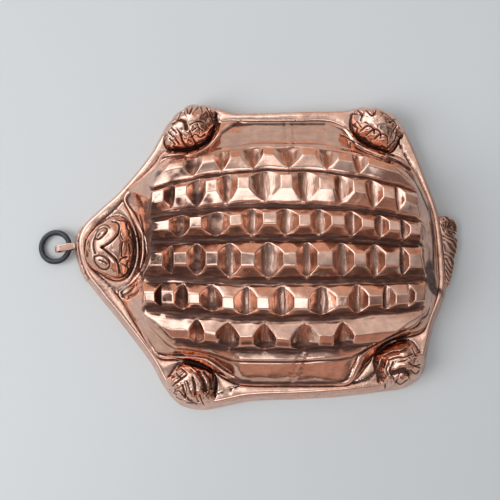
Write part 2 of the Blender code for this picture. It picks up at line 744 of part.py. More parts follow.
def build_loop(root, finish, collection):
    """The strap: out from the plate, round and back, leaving an eye that the ring swings in."""
    bm = bmesh.new()
    radius = (EYE_HEIGHT + STRAP_THICKNESS) / 2
    middle = EYE_BOTTOM + EYE_HEIGHT / 2
    straight = STRAP_REACH - radius - STRAP_THICKNESS / 2
    starts = [wall_inset(middle) - wall_inset(middle + side * radius) for side in (1, -1)]
    path = [(starts[0], middle + radius), (straight * 0.5, middle + radius)]
    for step in range(9):
        turn = math.pi * (0.5 - step / 8)
        path.append((straight + radius * math.cos(turn), middle + radius * math.sin(turn)))
    path += [(straight * 0.5, middle - radius), (starts[1], middle - radius)]
    rows = []
    for out, height in path:
        rows.append([bm.verts.new((-out, side * STRAP_WIDTH / 2, height)) for side in (-1, 1)])
    for before, after in zip(rows, rows[1:]):
        join_rings(bm, before, after, closed=False)
    bmesh.ops.recalc_face_normals(bm, faces=bm.faces)
    made = add_thickness(add_object("hanger_loop", bm, finish, collection), STRAP_THICKNESS, offset=0.0)
    made.rotation_euler = (0, 0, STRAP_SKEW)
    made.location = (root.x, root.y, 0)
    return made


def build_ring(pivot, finish, collection):
    """The iron ring: it swings on the stretch of its wire that is in the eye."""
    bpy.ops.mesh.primitive_torus_add(
        major_radius=RING_RADIUS, minor_radius=RING_WIRE / 2, major_segments=32, minor_segments=8
    )
    made = bpy.context.object
    made.name = "ring"
    made.data.name = "ring"
    made.data.transform(Matrix.Translation((-RING_RADIUS, 0, 0)))
    made.data.materials.append(finish)
    made.data.shade_smooth()
    for holder in made.users_collection:
        holder.objects.unlink(made)
    collection.objects.link(made)
    lowest = RING_WIRE / 2 + JOIN_GAP
    made.location = pivot
    made.rotation_euler = (0, -math.asin((pivot.z - lowest) / (2 * RING_RADIUS)), 0)
    return made


def centre_on_floor(objects):
    """Put the middle of the whole mould over the frame's origin."""
    bpy.context.view_layer.update()
    graph = bpy.context.evaluated_depsgraph_get()
    corners = []
    for made in objects:
        shape = made.evaluated_get(graph)
        corners += [shape.matrix_world @ vert.co for vert in shape.data.vertices]
    middle = [(min(c[i] for c in corners) + max(c[i] for c in corners)) / 2 for i in (0, 1)]
    for made in objects:
        made.location.x -= middle[0]
        made.location.y -= middle[1]


def build():
    for old in list(bpy.data.objects):
        bpy.data.objects.remove(old, do_unlink=True)
    collection = bpy.data.collections.new("tortoise_mould")
    bpy.context.scene.collection.children.link(collection)
    copper = material("copper", (0.87, 0.52, 0.40), 0.18, 1.0)
    wall_copper = material("wall_copper", (0.84, 0.50, 0.39), 0.26, 1.0)
    iron = material("iron", (0.06, 0.055, 0.055), 0.5, 1.0)

    rim = even_loop(RIM_OUTLINE, OUTLINE_POINTS)
    rim_totals = lengths_round(rim)
    openings = [inset_loop(even_loop(DOME_FOOT, 48), SEAT_WIDTH)]
    openings.append(inset_loop(even_loop(HEAD_OUTLINE, 24), SEAT_WIDTH))
    feet = {}
    for name, (points, middle, heading) in FEET.items():
        middle, heading = placed(middle), math.radians(heading)
        feet[name] = (foot_outline(points, middle, heading), middle, heading)
        openings.append(inset_loop(feet[name][0][::2], SEAT_WIDTH))

    objects = [
        build_skirt(rim, wall_copper, collection),
        build_deck(rim, openings, copper, collection),
        build_carapace(copper, collection),
        build_head(copper, collection),
    ]
    for name, (outline, middle, heading) in feet.items():
        objects.append(build_foot(name, outline, middle, heading, copper, collection))
    objects.append(build_tail(rim, rim_totals, copper, collection))

    objects.append(build_plate(rim, rim_totals, wall_copper, collection))
    strap_distance = nearest_distance(rim, rim_totals, placed(STRAP_PLACE))
    middle_height = EYE_BOTTOM + EYE_HEIGHT / 2
    skew_room = STRAP_WIDTH / 2 * math.sin(STRAP_SKEW)
    root = wall_frame(rim, rim_totals, strap_distance, middle_height, PLATE_THICKNESS + 2.5 * JOIN_GAP + skew_room)
    objects.append(build_loop(root, copper, collection))
    pivot = Vector((root.x - RING_STANDOFF, root.y, EYE_BOTTOM + RING_CLEARANCE + RING_WIRE / 2))
    objects.append(build_ring(pivot, iron, collection))
    centre_on_floor(objects)


build()
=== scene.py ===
# %% [markdown]
# # A tortoise-shaped copper mould
#
# The real object is a hollow kitchen mould about 30 cm long. A coppersmith raised its back, head and
# feet from sheet, soldered them to a flat deck, and closed the sides with a flared wall. It is polished
# outside and tinned inside. This lesson models each sheet as an open surface, gives it its thickness at
# the end, and spends its care on the two things that make copper look old: hand-made unevenness in the
# shape, and dirt that polishing never reaches.
#
# The construction model comes first. Its pieces keep their places, and every piece made here stands for
# one of them.

# %% The frame that everything is built around
import json
import math
import random

import bmesh
import bpy
import numpy as np
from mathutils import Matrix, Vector, noise


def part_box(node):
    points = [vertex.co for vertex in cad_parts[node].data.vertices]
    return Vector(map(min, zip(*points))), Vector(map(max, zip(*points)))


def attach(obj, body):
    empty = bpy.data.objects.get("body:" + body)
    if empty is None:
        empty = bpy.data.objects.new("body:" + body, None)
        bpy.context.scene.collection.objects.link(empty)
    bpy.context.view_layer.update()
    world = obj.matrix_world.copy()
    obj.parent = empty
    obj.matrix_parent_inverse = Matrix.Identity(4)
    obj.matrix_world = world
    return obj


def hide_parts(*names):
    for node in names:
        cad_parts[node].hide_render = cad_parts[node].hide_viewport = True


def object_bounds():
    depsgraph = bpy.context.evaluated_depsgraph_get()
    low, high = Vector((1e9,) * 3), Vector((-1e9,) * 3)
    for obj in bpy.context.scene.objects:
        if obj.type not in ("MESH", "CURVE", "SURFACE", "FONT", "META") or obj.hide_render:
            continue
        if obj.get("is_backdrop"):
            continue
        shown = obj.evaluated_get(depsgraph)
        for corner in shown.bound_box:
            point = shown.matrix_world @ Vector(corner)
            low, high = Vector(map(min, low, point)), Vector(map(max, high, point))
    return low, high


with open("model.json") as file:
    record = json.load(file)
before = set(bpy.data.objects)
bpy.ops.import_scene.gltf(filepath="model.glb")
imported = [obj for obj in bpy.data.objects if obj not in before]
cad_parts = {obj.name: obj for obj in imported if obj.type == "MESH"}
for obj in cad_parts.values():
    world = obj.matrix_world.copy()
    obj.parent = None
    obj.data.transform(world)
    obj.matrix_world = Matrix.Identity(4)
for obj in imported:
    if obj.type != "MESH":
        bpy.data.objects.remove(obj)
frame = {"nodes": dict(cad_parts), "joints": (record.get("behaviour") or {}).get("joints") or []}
cad_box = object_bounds()
MM = 0.001
SHEET = 1.2 * MM
JOIN_GAP = 0.3 * MM
print("pieces to dress:", ", ".join(sorted(frame["nodes"])))

# %% [markdown]
# ## Lines drawn on the deck
#
# Almost everything on this mould follows a closed line drawn on the deck: the rim, the dome's foot, the
# head and the feet. A few listed points give each line, and a smooth curve joins them. A Blender
# curve object could do it, but here the pieces also need to know how far along a line they are, so a
# small class keeps the distances.

# %% A smooth line with its distances
class Line:
    """A smooth line through a few points in drawn millimetres, kept as close-set points in metres."""

    steps = 12

    def __init__(self, points, closed=True):
        knots = np.array(points, float) * MM
        if closed:
            knots = np.vstack([knots[-1:], knots, knots[:2]])
        else:
            knots = np.vstack([2 * knots[0] - knots[1], knots, 2 * knots[-1] - knots[-2]])
        curve = []
        for before, start, stop, after in zip(knots, knots[1:], knots[2:], knots[3:]):
            span = np.linalg.norm(stop - start)
            leave = (stop - before) / (span + np.linalg.norm(start - before)) * span
            arrive = (after - start) / (span + np.linalg.norm(after - stop)) * span
            for t in np.arange(self.steps) / self.steps:
                a, b = 2 * t ** 3 - 3 * t ** 2 + 1, t ** 3 - 2 * t ** 2 + t
                curve.append(start * a + leave * b + stop * (1 - a) + arrive * (t ** 3 - t ** 2))
        curve.append(knots[-2])
        self.points = np.array(curve)
        pieces = np.linalg.norm(np.diff(self.points, axis=0), axis=1)
        self.lengths = np.concatenate([[0.0], np.cumsum(pieces)])
        self.total = self.lengths[-1]

    def at(self, distances):
        """The points at distances along a closed line."""
        wrapped = np.mod(distances, self.total)
        return np.stack([np.interp(wrapped, self.lengths, self.points[:, i]) for i in (0, 1)], axis=-1)

    def outward(self, distances):
        """Unit normals that point out of a closed line drawn clockwise."""
        along = self.at(np.asarray(distances) + MM) - self.at(np.asarray(distances) - MM)
        along /= np.linalg.norm(along, axis=-1, keepdims=True)
        return np.stack([-along[..., 1], along[..., 0]], axis=-1)

    def nearest(self, x, y):
        """How far along the line its nearest point to a place in drawn millimetres is."""
        away = np.linalg.norm(self.points - np.array((x, y)) * MM, axis=1)
        return self.lengths[int(away.argmin())]

    def even(self, count):
        """Distances along a closed line, evenly apart."""
        return self.total * np.arange(count) / count


def closed(points):
    """The points of a closed line with the first one again at the end."""
    return np.vstack([points, points[:1]])


def bell(away, width):
    """A smooth bump of height 1 in the middle, nearly gone at twice its width."""
    return np.exp(-(away / width) ** 2)


def band(away, strength, width):
    return strength * bell(away, width)


def distance_to(places, line_points):
    """The distance of each place to a line given by its points, in the plane."""
    best = np.full(len(places), 1e9)
    for start, stop in zip(line_points, line_points[1:]):
        along = stop - start
        size = float(along @ along)
        share = np.clip(((places - start) @ along) / max(size, 1e-12), 0, 1)
        best = np.minimum(best, np.linalg.norm(places - start - share[:, None] * along, axis=1))
    return best

# %% The lines themselves, in millimetres, clockwise from the head
RIM_OUTLINE = (
    (-135, 5), (-131, 21), (-117, 36), (-102, 50), (-79, 79), (-70, 96), (-63, 107), (-50, 118),
    (-35, 119.5), (-18, 115), (-7, 113), (40, 114.5), (72, 115), (88, 117), (104, 115.5), (118, 107),
    (127, 92), (141, 55), (148.5, 31), (151.5, 8), (153, -20), (151, -34), (142, -56), (136, -79),
    (132, -93), (119, -103), (99, -106.5), (69, -110), (38, -112), (0, -113.5), (-22, -118),
    (-37, -120), (-53, -116), (-65, -103), (-76, -84), (-100, -53), (-116, -34), (-128, -18),
)
HEAD_OUTLINE = (
    (-125.3, 1.5), (-124, 9.5), (-117.5, 18.5), (-112, 22.8), (-107, 25.8), (-101, 27), (-95, 24.5),
    (-90.5, 18.5), (-88, 11.5), (-87, 4), (-87.3, -4), (-88.5, -10.5), (-90.5, -15.5), (-94.5, -20.5),
    (-100, -22.5), (-106, -21.2), (-114, -17), (-120.5, -12.5), (-124.3, -6.5),
)
# Each point of the dome's foot also says what the slope above it is, and how wide the ribbon is there.
DOME_FOOT = (
    (-9, 102, "hem", 1.5), (4, 102, "margin", 4), (34, 102, "margin", 4), (60, 102, "margin", 4),
    (73, 97.5, "hem", 3), (80.5, 91.5, "hem", 8), (86, 86, "hem", 7), (94, 81.5, "hem", 6.5),
    (104, 77.5, "hem", 6.5), (116, 73.5, "hem", 7), (124.5, 65.5, "hem", 4), (131.5, 52, "rear", 4),
    (139, 33, "rear", 5), (142, 16, "rear", 5), (143, -7, "rear", 5), (143, -27, "rear", 5),
    (139, -42, "rear", 4), (135, -53, "hem", 4), (129, -61.5, "hem", 5.5), (117, -65.5, "hem", 8.5),
    (106, -69, "hem", 10), (96.5, -75.5, "hem", 10), (87.5, -86, "hem", 10), (80, -95.5, "hem", 8),
    (73, -101, "hem", 3), (62, -101.5, "margin", 4), (30, -101.5, "margin", 4), (-6, -101, "margin", 4),
    (-17, -96.5, "hem", 5), (-27.5, -90.5, "hem", 6), (-35, -86.5, "hem", 6), (-44.5, -83.5, "hem", 4.5),
    (-56, -82, "hem", 4), (-66, -81.5, "hem", 3.5), (-72, -77, "hem", 2), (-86.5, -54, "cheek", 4),
    (-95, -39.5, "cheek", 4), (-99, -32, "collar", 2), (-91.5, -25.5, "collar", 5),
    (-88, -18.5, "collar", 7.5), (-85, -9.5, "collar", 8), (-84, -1.5, "collar", 8), (-84.5, 6, "collar", 8),
    (-86, 14, "collar", 7.5), (-88.5, 21.5, "collar", 7), (-92, 30, "collar", 6), (-96.5, 40.5, "collar", 2),
    (-92, 49, "cheek", 4), (-83.5, 57, "cheek", 4), (-73, 68, "cheek", 5), (-69, 74.5, "hem", 7),
    (-64, 78, "hem", 9), (-55.5, 78.5, "hem", 9), (-47, 79, "hem", 9), (-37.5, 82, "hem", 9),
    (-30, 87.5, "hem", 9.5), (-26.5, 94.5, "hem", 12), (-24, 100, "hem", 13), (-17.5, 102, "hem", 8),
)
rim = Line(RIM_OUTLINE)
head_line = Line(HEAD_OUTLINE)
foot_line = Line([(x, y) for x, y, kind, width in DOME_FOOT])

# The drawing's own zero isn't the frame's, so the two rims are laid over each other.
wall_low, wall_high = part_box("skirt")
wall_middle = (np.array(wall_low[:2]) + np.array(wall_high[:2])) / 2
SHIFT = wall_middle - (rim.points.min(0) + rim.points.max(0)) / 2
print("the drawing is moved by", np.round(SHIFT / MM, 2), "mm")
print("the rim is", round(rim.total / MM), "mm round")

# %% [markdown]
# ## Heights of the wall and the deck
#
# The wall leans in as it rises, and the deck's edge is turned down over it. Both are read from the
# construction model where it can tell them, and the lean is the one the smith gave it.

# %% Deck height, wall lean and two helpers
DECK_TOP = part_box("deck")[1].z
LIP_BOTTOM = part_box("deck")[0].z
WALL_TOP = wall_high.z
WALL_FLARE = 5.0 * MM
RIM_UPRIGHT = 1.5 * MM
DECK_EDGE_RADIUS = 2.2 * MM
SEAT = DECK_TOP + JOIN_GAP


def lean(height):
    """How far the wall has come in from the rim at a height."""
    return WALL_FLARE * max(0.0, height - RIM_UPRIGHT) / (DECK_TOP - RIM_UPRIGHT)


def smooth(low, high, value):
    """From 0 at low to 1 at high, with soft ends."""
    t = np.clip((value - low) / (high - low), 0, 1)
    return t * t * (3 - 2 * t)


def close_ring(bm, places, height):
    """A closed ring of points on a level, from a circle of as many corners."""
    made = bmesh.ops.create_circle(bm, segments=len(places), radius=1.0)["verts"]
    for vert, place in zip(made, places):
        vert.co = (place[0] + SHIFT[0], place[1] + SHIFT[1], height)
    return made


def ring_edges(bm, ring):
    return [bm.edges.get((a, b)) for a, b in zip(ring, ring[1:] + ring[:1])]


def extrude_line(bm, line, edges, places):
    """Extrude a line of points along its edges and move the new points to their places, in order."""
    made = bmesh.ops.extrude_edge_only(bm, edges=edges)["geom"]
    fresh = {item for item in made if isinstance(item, bmesh.types.BMVert)}
    grown = []
    for vert, place in zip(line, places):
        twin = next(edge.other_vert(vert) for edge in vert.link_edges if edge.other_vert(vert) in fresh)
        twin.co = place
        grown.append(twin)
    return grown


def extrude_ring(bm, ring, places):
    return extrude_line(bm, ring, ring_edges(bm, ring), places)


def lifted(places, heights):
    """Places on the drawing with a height each, as points in the frame."""
    flat = np.asarray(places) + SHIFT
    return np.column_stack([flat, np.broadcast_to(heights, len(flat))])


def drawn(points):
    """The places on the drawing that points in the frame stand over."""
    return np.asarray(points)[:, :2] - SHIFT


def evened(values, rounds):
    """Values round a closed line, averaged with both their neighbours a number of times."""
    for turn in range(rounds):
        values = (values + np.roll(values, 1, axis=0) + np.roll(values, -1, axis=0)) / 3
    return values


print("deck top", round(DECK_TOP / MM, 2), "mm, wall top", round(WALL_TOP / MM, 2), "mm")

# %% [markdown]
# ## Old copper
#
# Polished copper has almost no colour of its own in shadow: it shows the room. What makes it old is
# where the polish stops. So every piece first measures how hollow its surface is at each point, and the
# material reads that value: dark, rough dirt in the creases, bright metal on the edges. A painted
# picture could do the same, but it would have to be unwrapped and would not follow a change of shape.
# Some pieces add painted shade and painted dark reflections to that value too, and the dirt's dark mix shows
# them.

# %% Measuring how hollow a surface is
BEND_WEIGHT, LEAST_BEND, MOST_BEND = 0.0022, -1.2, 1.5
SUNK_DEPTH = 1.1 * MM


def read_vectors(items, name):
    """Three numbers of each of a mesh's items."""
    values = np.empty(len(items) * 3)
    items.foreach_get(name, values)
    return values.reshape(-1, 3)


def mark_relief(mesh, rounds=2, wide_rounds=14, extra=None):
    """Write the attribute "relief": above 0 in creases, below 0 on edges. extra adds dirt, painted shade and
    painted dark reflections of its own.
    """
    count = len(mesh.vertices)
    places = read_vectors(mesh.vertices, "co")
    normals = read_vectors(mesh.vertex_normals, "vector")
    pairs = np.empty(len(mesh.edges) * 2, int)
    mesh.edges.foreach_get("vertices", pairs)
    a, b = pairs.reshape(-1, 2).T
    links = np.maximum(np.bincount(a, minlength=count) + np.bincount(b, minlength=count), 1)

    def average(values):
        total = np.bincount(a, values[b], count) + np.bincount(b, values[a], count)
        return 0.5 * values + 0.5 * total / links

    step = places[b] - places[a]
    size = np.maximum((step ** 2).sum(1), 1e-9)
    bend = np.bincount(a, (normals[a] * step).sum(1) / size, count)
    bend -= np.bincount(b, (normals[b] * step).sum(1) / size, count)
    bend = 2 * bend / links
    wide = places.copy()
    for turn in range(wide_rounds):
        wide = np.stack([average(wide[:, i]) for i in range(3)], axis=1)
    sunk = ((wide - places) * normals).sum(1)
    relief = np.clip(bend * BEND_WEIGHT, LEAST_BEND, MOST_BEND) + sunk / SUNK_DEPTH
    for turn in range(rounds):
        relief = average(relief)
    if extra is not None:
        relief = relief + extra
    layer = mesh.attributes.new("relief", "FLOAT", "POINT")
    layer.data.foreach_set("value", relief.astype(np.float32))
    return relief

# %% [markdown]
# The dirt, the cloudy tarnish, the polishing scratches and the hammer's fine unevenness are one shader
# group, because the copper of the back, the wall and the hanger all need it with different values. The
# group gives out a colour, a roughness, a metallic value and a height. The Principled shader stays in
# each material.

# %% The shared group for worn copper
def new_group(name, inputs, outputs):
    group = bpy.data.node_groups.new(name, "ShaderNodeTree")
    for title, kind, value in inputs:
        socket = group.interface.new_socket(title, in_out="INPUT", socket_type=kind)
        socket.default_value = value
    for title, kind in outputs:
        group.interface.new_socket(title, in_out="OUTPUT", socket_type=kind)
    return group, group.nodes.new("NodeGroupInput"), group.nodes.new("NodeGroupOutput")


def add_node(tree, kind, settings=(), **inputs):
    """A shader node with its settings, its values and its links. A link is given as an output socket."""
    node = tree.nodes.new(kind)
    for name, value in dict(settings).items():
        setattr(node, name, value)
    for name, value in inputs.items():
        key = int(name[1:]) if name[0] == "i" and name[1:].isdigit() else name.replace("_", " ")
        if isinstance(value, bpy.types.NodeSocket):
            tree.links.new(value, node.inputs[key])
        else:
            node.inputs[key].default_value = value
    return node


def ramp(tree, value, low, high, to_low=0.0, to_high=1.0):
    """A smooth step from one value to another."""
    node = add_node(tree, "ShaderNodeMapRange", {"interpolation_type": "SMOOTHSTEP"})
    tree.links.new(value, node.inputs["Value"])
    for name, number in (("From Min", low), ("From Max", high), ("To Min", to_low), ("To Max", to_high)):
        node.inputs[name].default_value = number
    return node.outputs["Result"]


def maths(tree, how, first, second=0.0):
    return add_node(tree, "ShaderNodeMath", {"operation": how}, i0=first, i1=second).outputs[0]


def plus(tree, total, more, share):
    """A value with a share of another one added to it."""
    return maths(tree, "ADD", total, maths(tree, "MULTIPLY", more, share))


def vector_maths(tree, how, first, second=(0.0, 0.0, 0.0)):
    return add_node(tree, "ShaderNodeVectorMath", {"operation": how}, i0=first, i1=second)


def mix_colour(tree, share, first, second, how="MIX"):
    node = add_node(tree, "ShaderNodeMix", {"data_type": "RGBA", "blend_type": how})
    for key, value in ((0, share), (6, first), (7, second)):
        if isinstance(value, bpy.types.NodeSocket):
            tree.links.new(value, node.inputs[key])
        else:
            node.inputs[key].default_value = value
    return node.outputs[2]


def cloud(tree, coordinates, scale, detail=3.0, roughness=0.5):
    """Noise over the object's own coordinates, from 0 to 1."""
    node = add_node(tree, "ShaderNodeTexNoise", Vector=coordinates, Scale=scale, Detail=detail,
                    Roughness=roughness)
    return node.outputs["Fac"]


def streaky(tree, coordinates, scale, detail, roughness, turn=(0.0, 0.0, 0.0)):
    """Noise that is drawn out: its scale is given for each axis."""
    place = add_node(tree, "ShaderNodeMapping", {"vector_type": "POINT"}, Vector=coordinates, Rotation=turn,
                     Scale=scale)
    return cloud(tree, place.outputs[0], 1.0, detail, roughness)


def own_coordinates(tree):
    return tree.nodes.new("ShaderNodeTexCoord").outputs["Object"]


# What the group is given, with the values it has when nothing else is said, and what it gives out.
COLOUR, NUMBER = "NodeSocketColor", "NodeSocketFloat"
# The Dirt colour also paints the shade and dark reflections that some pieces add to their relief.
GROUP_INPUTS = (
    ("Relief", NUMBER, 0.0),
    ("Clean", COLOUR, (0.93, 0.58, 0.46, 1)),
    ("Tarnish", COLOUR, (0.80, 0.42, 0.30, 1)),
    ("Veil", COLOUR, (0.30, 0.145, 0.10, 1)),
    ("Dirt", COLOUR, (0.065, 0.022, 0.014, 1)),
    ("Dirt Start", NUMBER, 0.25),
    ("Dirt End", NUMBER, 0.9),
    ("Polish", NUMBER, 0.13),
    ("Pocket", NUMBER, 0.0),
)
GROUP_OUTPUTS = (("Color", COLOUR), ("Roughness", NUMBER), ("Metallic", NUMBER), ("Height", NUMBER))
# How fine each noise is, in waves to the metre.
BROAD, MOTTLE, FINE, DENTS, PITS = 22.0, 160.0, 900.0, 75.0, 300.0
STREAKS, FLUTES, SCRATCHES = (70.0, 520.0, 200.0), (420.0, 55.0, 90.0), (60.0, 1400.0, 500.0)
SCRATCH_TURN = (0.0, 0.3, 0.5)
UNEVEN_SHARE = 0.9
# How much each thing adds to the roughness, and to the height.
HAZE_ROUGH, VEIL_ROUGH, DIRT_ROUGH, FINE_ROUGH = 0.09, 0.12, 0.30, 0.06
PIT_HEIGHT, SCRATCH_DEPTH, FLUTE_HEIGHT, CRUST_HEIGHT = 0.16, 0.02, 0.9, 0.25


def make_worn_copper():
    """Clean metal, then tarnish in patches, a brown veil near the creases, and dirt in them, which also
    shows the painted shade that some pieces add to their relief.
    """
    group, given, result = new_group("worn_copper", GROUP_INPUTS, GROUP_OUTPUTS)
    given = given.outputs
    at = own_coordinates(group)
    mottle = cloud(group, at, MOTTLE, 4.0, 0.6)
    fine = cloud(group, at, FINE, 2.0)
    edge = plus(group, given["Relief"], maths(group, "SUBTRACT", mottle, 0.5), UNEVEN_SHARE)
    dirt = add_node(group, "ShaderNodeMapRange", {"interpolation_type": "SMOOTHSTEP"}, Value=edge,
                    From_Min=given["Dirt Start"], From_Max=given["Dirt End"]).outputs["Result"]
    worn = ramp(group, edge, -0.1, -0.8)
    patch = ramp(group, cloud(group, at, BROAD, 4.0, 0.6), 0.42, 0.68, 0.0, 0.75)
    metal = mix_colour(group, patch, given["Clean"], given["Tarnish"])
    metal = mix_colour(group, worn, metal, given["Clean"])
    bruise = ramp(group, mottle, 0.35, 0.7, 0.82, 1.05)
    metal = mix_colour(group, 1.0, metal, bruise, "MULTIPLY")
    streaks = streaky(group, at, STREAKS, 3.0, 0.6)
    flutes = maths(group, "MULTIPLY", streaky(group, at, FLUTES, 3.0, 0.65), given["Pocket"])
    veil = ramp(group, plus(group, edge, streaks, 0.5), 0.28, 0.95, 0.0, 0.85)
    veil = maths(group, "MAXIMUM", veil, ramp(group, flutes, 0.30, 0.56, 0.0, 0.9))
    colour = mix_colour(group, veil, metal, given["Veil"])
    soil = mix_colour(group, ramp(group, streaks, 0.44, 0.68, 0.0, 0.45), given["Dirt"], given["Veil"])
    colour = mix_colour(group, dirt, colour, soil)
    rough = given["Polish"]
    for value, share in ((patch, HAZE_ROUGH), (veil, VEIL_ROUGH), (dirt, DIRT_ROUGH)):
        rough = plus(group, rough, value, share)
    rough = maths(group, "ADD", rough, ramp(group, fine, 0.35, 0.75, 0.0, FINE_ROUGH))
    metallic = ramp(group, dirt, 0.35, 1.0, 1.0, 0.35)
    scratch = ramp(group, streaky(group, at, SCRATCHES, 2.0, 0.7, SCRATCH_TURN), 0.60, 0.72)
    height = cloud(group, at, DENTS, 1.0)
    crust = maths(group, "MULTIPLY", dirt, fine)
    for value, share in ((cloud(group, at, PITS, 2.0), PIT_HEIGHT), (scratch, -SCRATCH_DEPTH),
                         (flutes, FLUTE_HEIGHT), (crust, CRUST_HEIGHT)):
        height = plus(group, height, value, share)
    for (title, kind), socket in zip(GROUP_OUTPUTS, (colour, rough, metallic, height)):
        group.links.new(socket, result.inputs[title])
    return group


worn_copper = make_worn_copper()
print("group", worn_copper.name, "has", len(worn_copper.nodes), "nodes")

# %% Copper materials that use the group
DIRT_START, DIRT_END = 0.30, 0.95


def new_material(name):
    """A new material, its tree of nodes and its shader."""
    made = bpy.data.materials.new(name)
    made.use_nodes = True
    return made, made.node_tree, made.node_tree.nodes["Principled BSDF"]


def add_bump(tree, shader, height, depth):
    bump = add_node(tree, "ShaderNodeBump", Strength=1.0, Distance=depth, Height=height)
    tree.links.new(bump.outputs["Normal"], shader.inputs["Normal"])


def mesh_value(tree, name):
    """A value that is written on the mesh."""
    node = add_node(tree, "ShaderNodeAttribute", {"attribute_type": "GEOMETRY", "attribute_name": name})
    return node.outputs["Fac"]


def copper_material(name, clean, tarnish, polish, depth):
    made, tree, shader = new_material(name)
    look = add_node(tree, "ShaderNodeGroup", {"node_tree": worn_copper}, Relief=mesh_value(tree, "relief"),
                    Pocket=mesh_value(tree, "pocket"), Clean=(*clean, 1), Tarnish=(*tarnish, 1),
                    Polish=polish, Dirt_Start=DIRT_START, Dirt_End=DIRT_END)
    for given, taken in (("Color", "Base Color"), ("Roughness", "Roughness"), ("Metallic", "Metallic")):
        tree.links.new(look.outputs[given], shader.inputs[taken])
    add_bump(tree, shader, look.outputs["Height"], depth)
    return made


polished = copper_material("polished_copper", (0.88, 0.52, 0.39), (0.76, 0.42, 0.30), 0.09, 0.35 * MM)
rubbed = copper_material("rubbed_wall_copper", (0.88, 0.54, 0.42), (0.78, 0.44, 0.32), 0.18, 0.30 * MM)
print("materials:", polished.name, rubbed.name)

# %% [markdown]
# Inside, the copper is tinned so that food doesn't touch it. Tin wiped on by hand is grey, soft and
# cloudy. It is the second material of each sheet: Solidify gives the new, inner side the next slot.

# %% Tin for the inside
TIN_COLOURS = ((0.34, 0.33, 0.31, 1), (0.62, 0.61, 0.58, 1))
BARE_COPPER = (0.45, 0.30, 0.22, 1)


def tin_material():
    made, tree, shader = new_material("wiped_tin")
    at = own_coordinates(tree)
    wiped = cloud(tree, at, 40.0, 5.0, 0.65)
    worn = ramp(tree, cloud(tree, at, 14.0, 4.0, 0.6), 0.55, 0.75)
    grey = mix_colour(tree, wiped, *TIN_COLOURS)
    tree.links.new(mix_colour(tree, worn, grey, BARE_COPPER), shader.inputs["Base Color"])
    tree.links.new(ramp(tree, wiped, 0.2, 0.8, 0.34, 0.58), shader.inputs["Roughness"])
    shader.inputs["Metallic"].default_value = 0.9
    add_bump(tree, shader, cloud(tree, at, 180.0, 3.0), 0.25 * MM)
    return made


tin = tin_material()
print("material:", tin.name)

# %% [markdown]
# ## Turning a surface into a piece
#
# Hand-raised sheet is never even. Before a surface becomes a piece, each of its points is moved a tenth
# of a millimetre or so by smooth noise: long waves from the hammer, short ones from the punch. Then the
# relief is measured, and Solidify adds the sheet's thickness on the inner side.

# %% Unevenness, relief and thickness
LINE_SHARPNESS, LINE_DIRT_SHARPNESS = 2.2, 2.6
# How much cleaner the pockets are than the rest, and how strongly the painted shade on the right-hand slopes
# and the darker row fronts darken them.
POCKET_POLISH, SHADE_AND_FRONT_DARKNESS = 0.28, 0.7


def face_out(bm, outward):
    """Turn an open sheet's faces one way, with most of them facing out. outward gives a face's share."""
    bmesh.ops.recalc_face_normals(bm, faces=bm.faces)
    if sum(outward(face) for face in bm.faces) < 0:
        bmesh.ops.reverse_faces(bm, faces=bm.faces)


def face_up(bm):
    face_out(bm, lambda face: face.normal.z * face.calc_area())


def face_away(bm):
    face_out(bm, lambda face: face.normal.dot(face.calc_center_median()) * face.calc_area())


def hammer(bm, waves, seed, still=None):
    """Move each point along its normal by smooth noise. waves are pairs of wavelength and depth."""
    bm.normal_update()
    offset = Vector((seed * 7.31, seed * 3.17, seed * 1.93))
    moves = []
    for vert in bm.verts:
        depth = sum(noise.noise(vert.co / length + offset) * height for length, height in waves)
        if still is not None:
            depth *= still(vert.co)
        moves.append(vert.normal * depth)
    for vert, move in zip(bm.verts, moves):
        vert.co += move


def line_away(places, points, width):
    """How far places are from a chased line, in shares of its width."""
    path = Line(points, closed=False).points if len(points) > 2 else np.array(points, float) * MM
    return distance_to(places, path) / (width * MM)


def chase(places, lines):
    """The height that chased lines give each place. A line is its points, its width and its depth in mm."""
    height = np.zeros(len(places))
    for points, width, depth in lines:
        height -= depth * MM * np.exp(-line_away(places, points, width) ** 2 * LINE_SHARPNESS)
    return height


def line_dirt_and_reflection(places, lines, most=1.3):
    """The dirt that polishing leaves in chased lines, and in some lines a painted dark reflection. A ridge,
    whose depth is below zero, holds none.
    """
    dirt = np.zeros(len(places))
    for points, width, depth in lines:
        if depth > 0:
            near = np.exp(-line_away(places, points, width) ** 2 * LINE_DIRT_SHARPNESS)
            dirt = np.maximum(dirt, most * min(1.0, depth) * near)
    return dirt


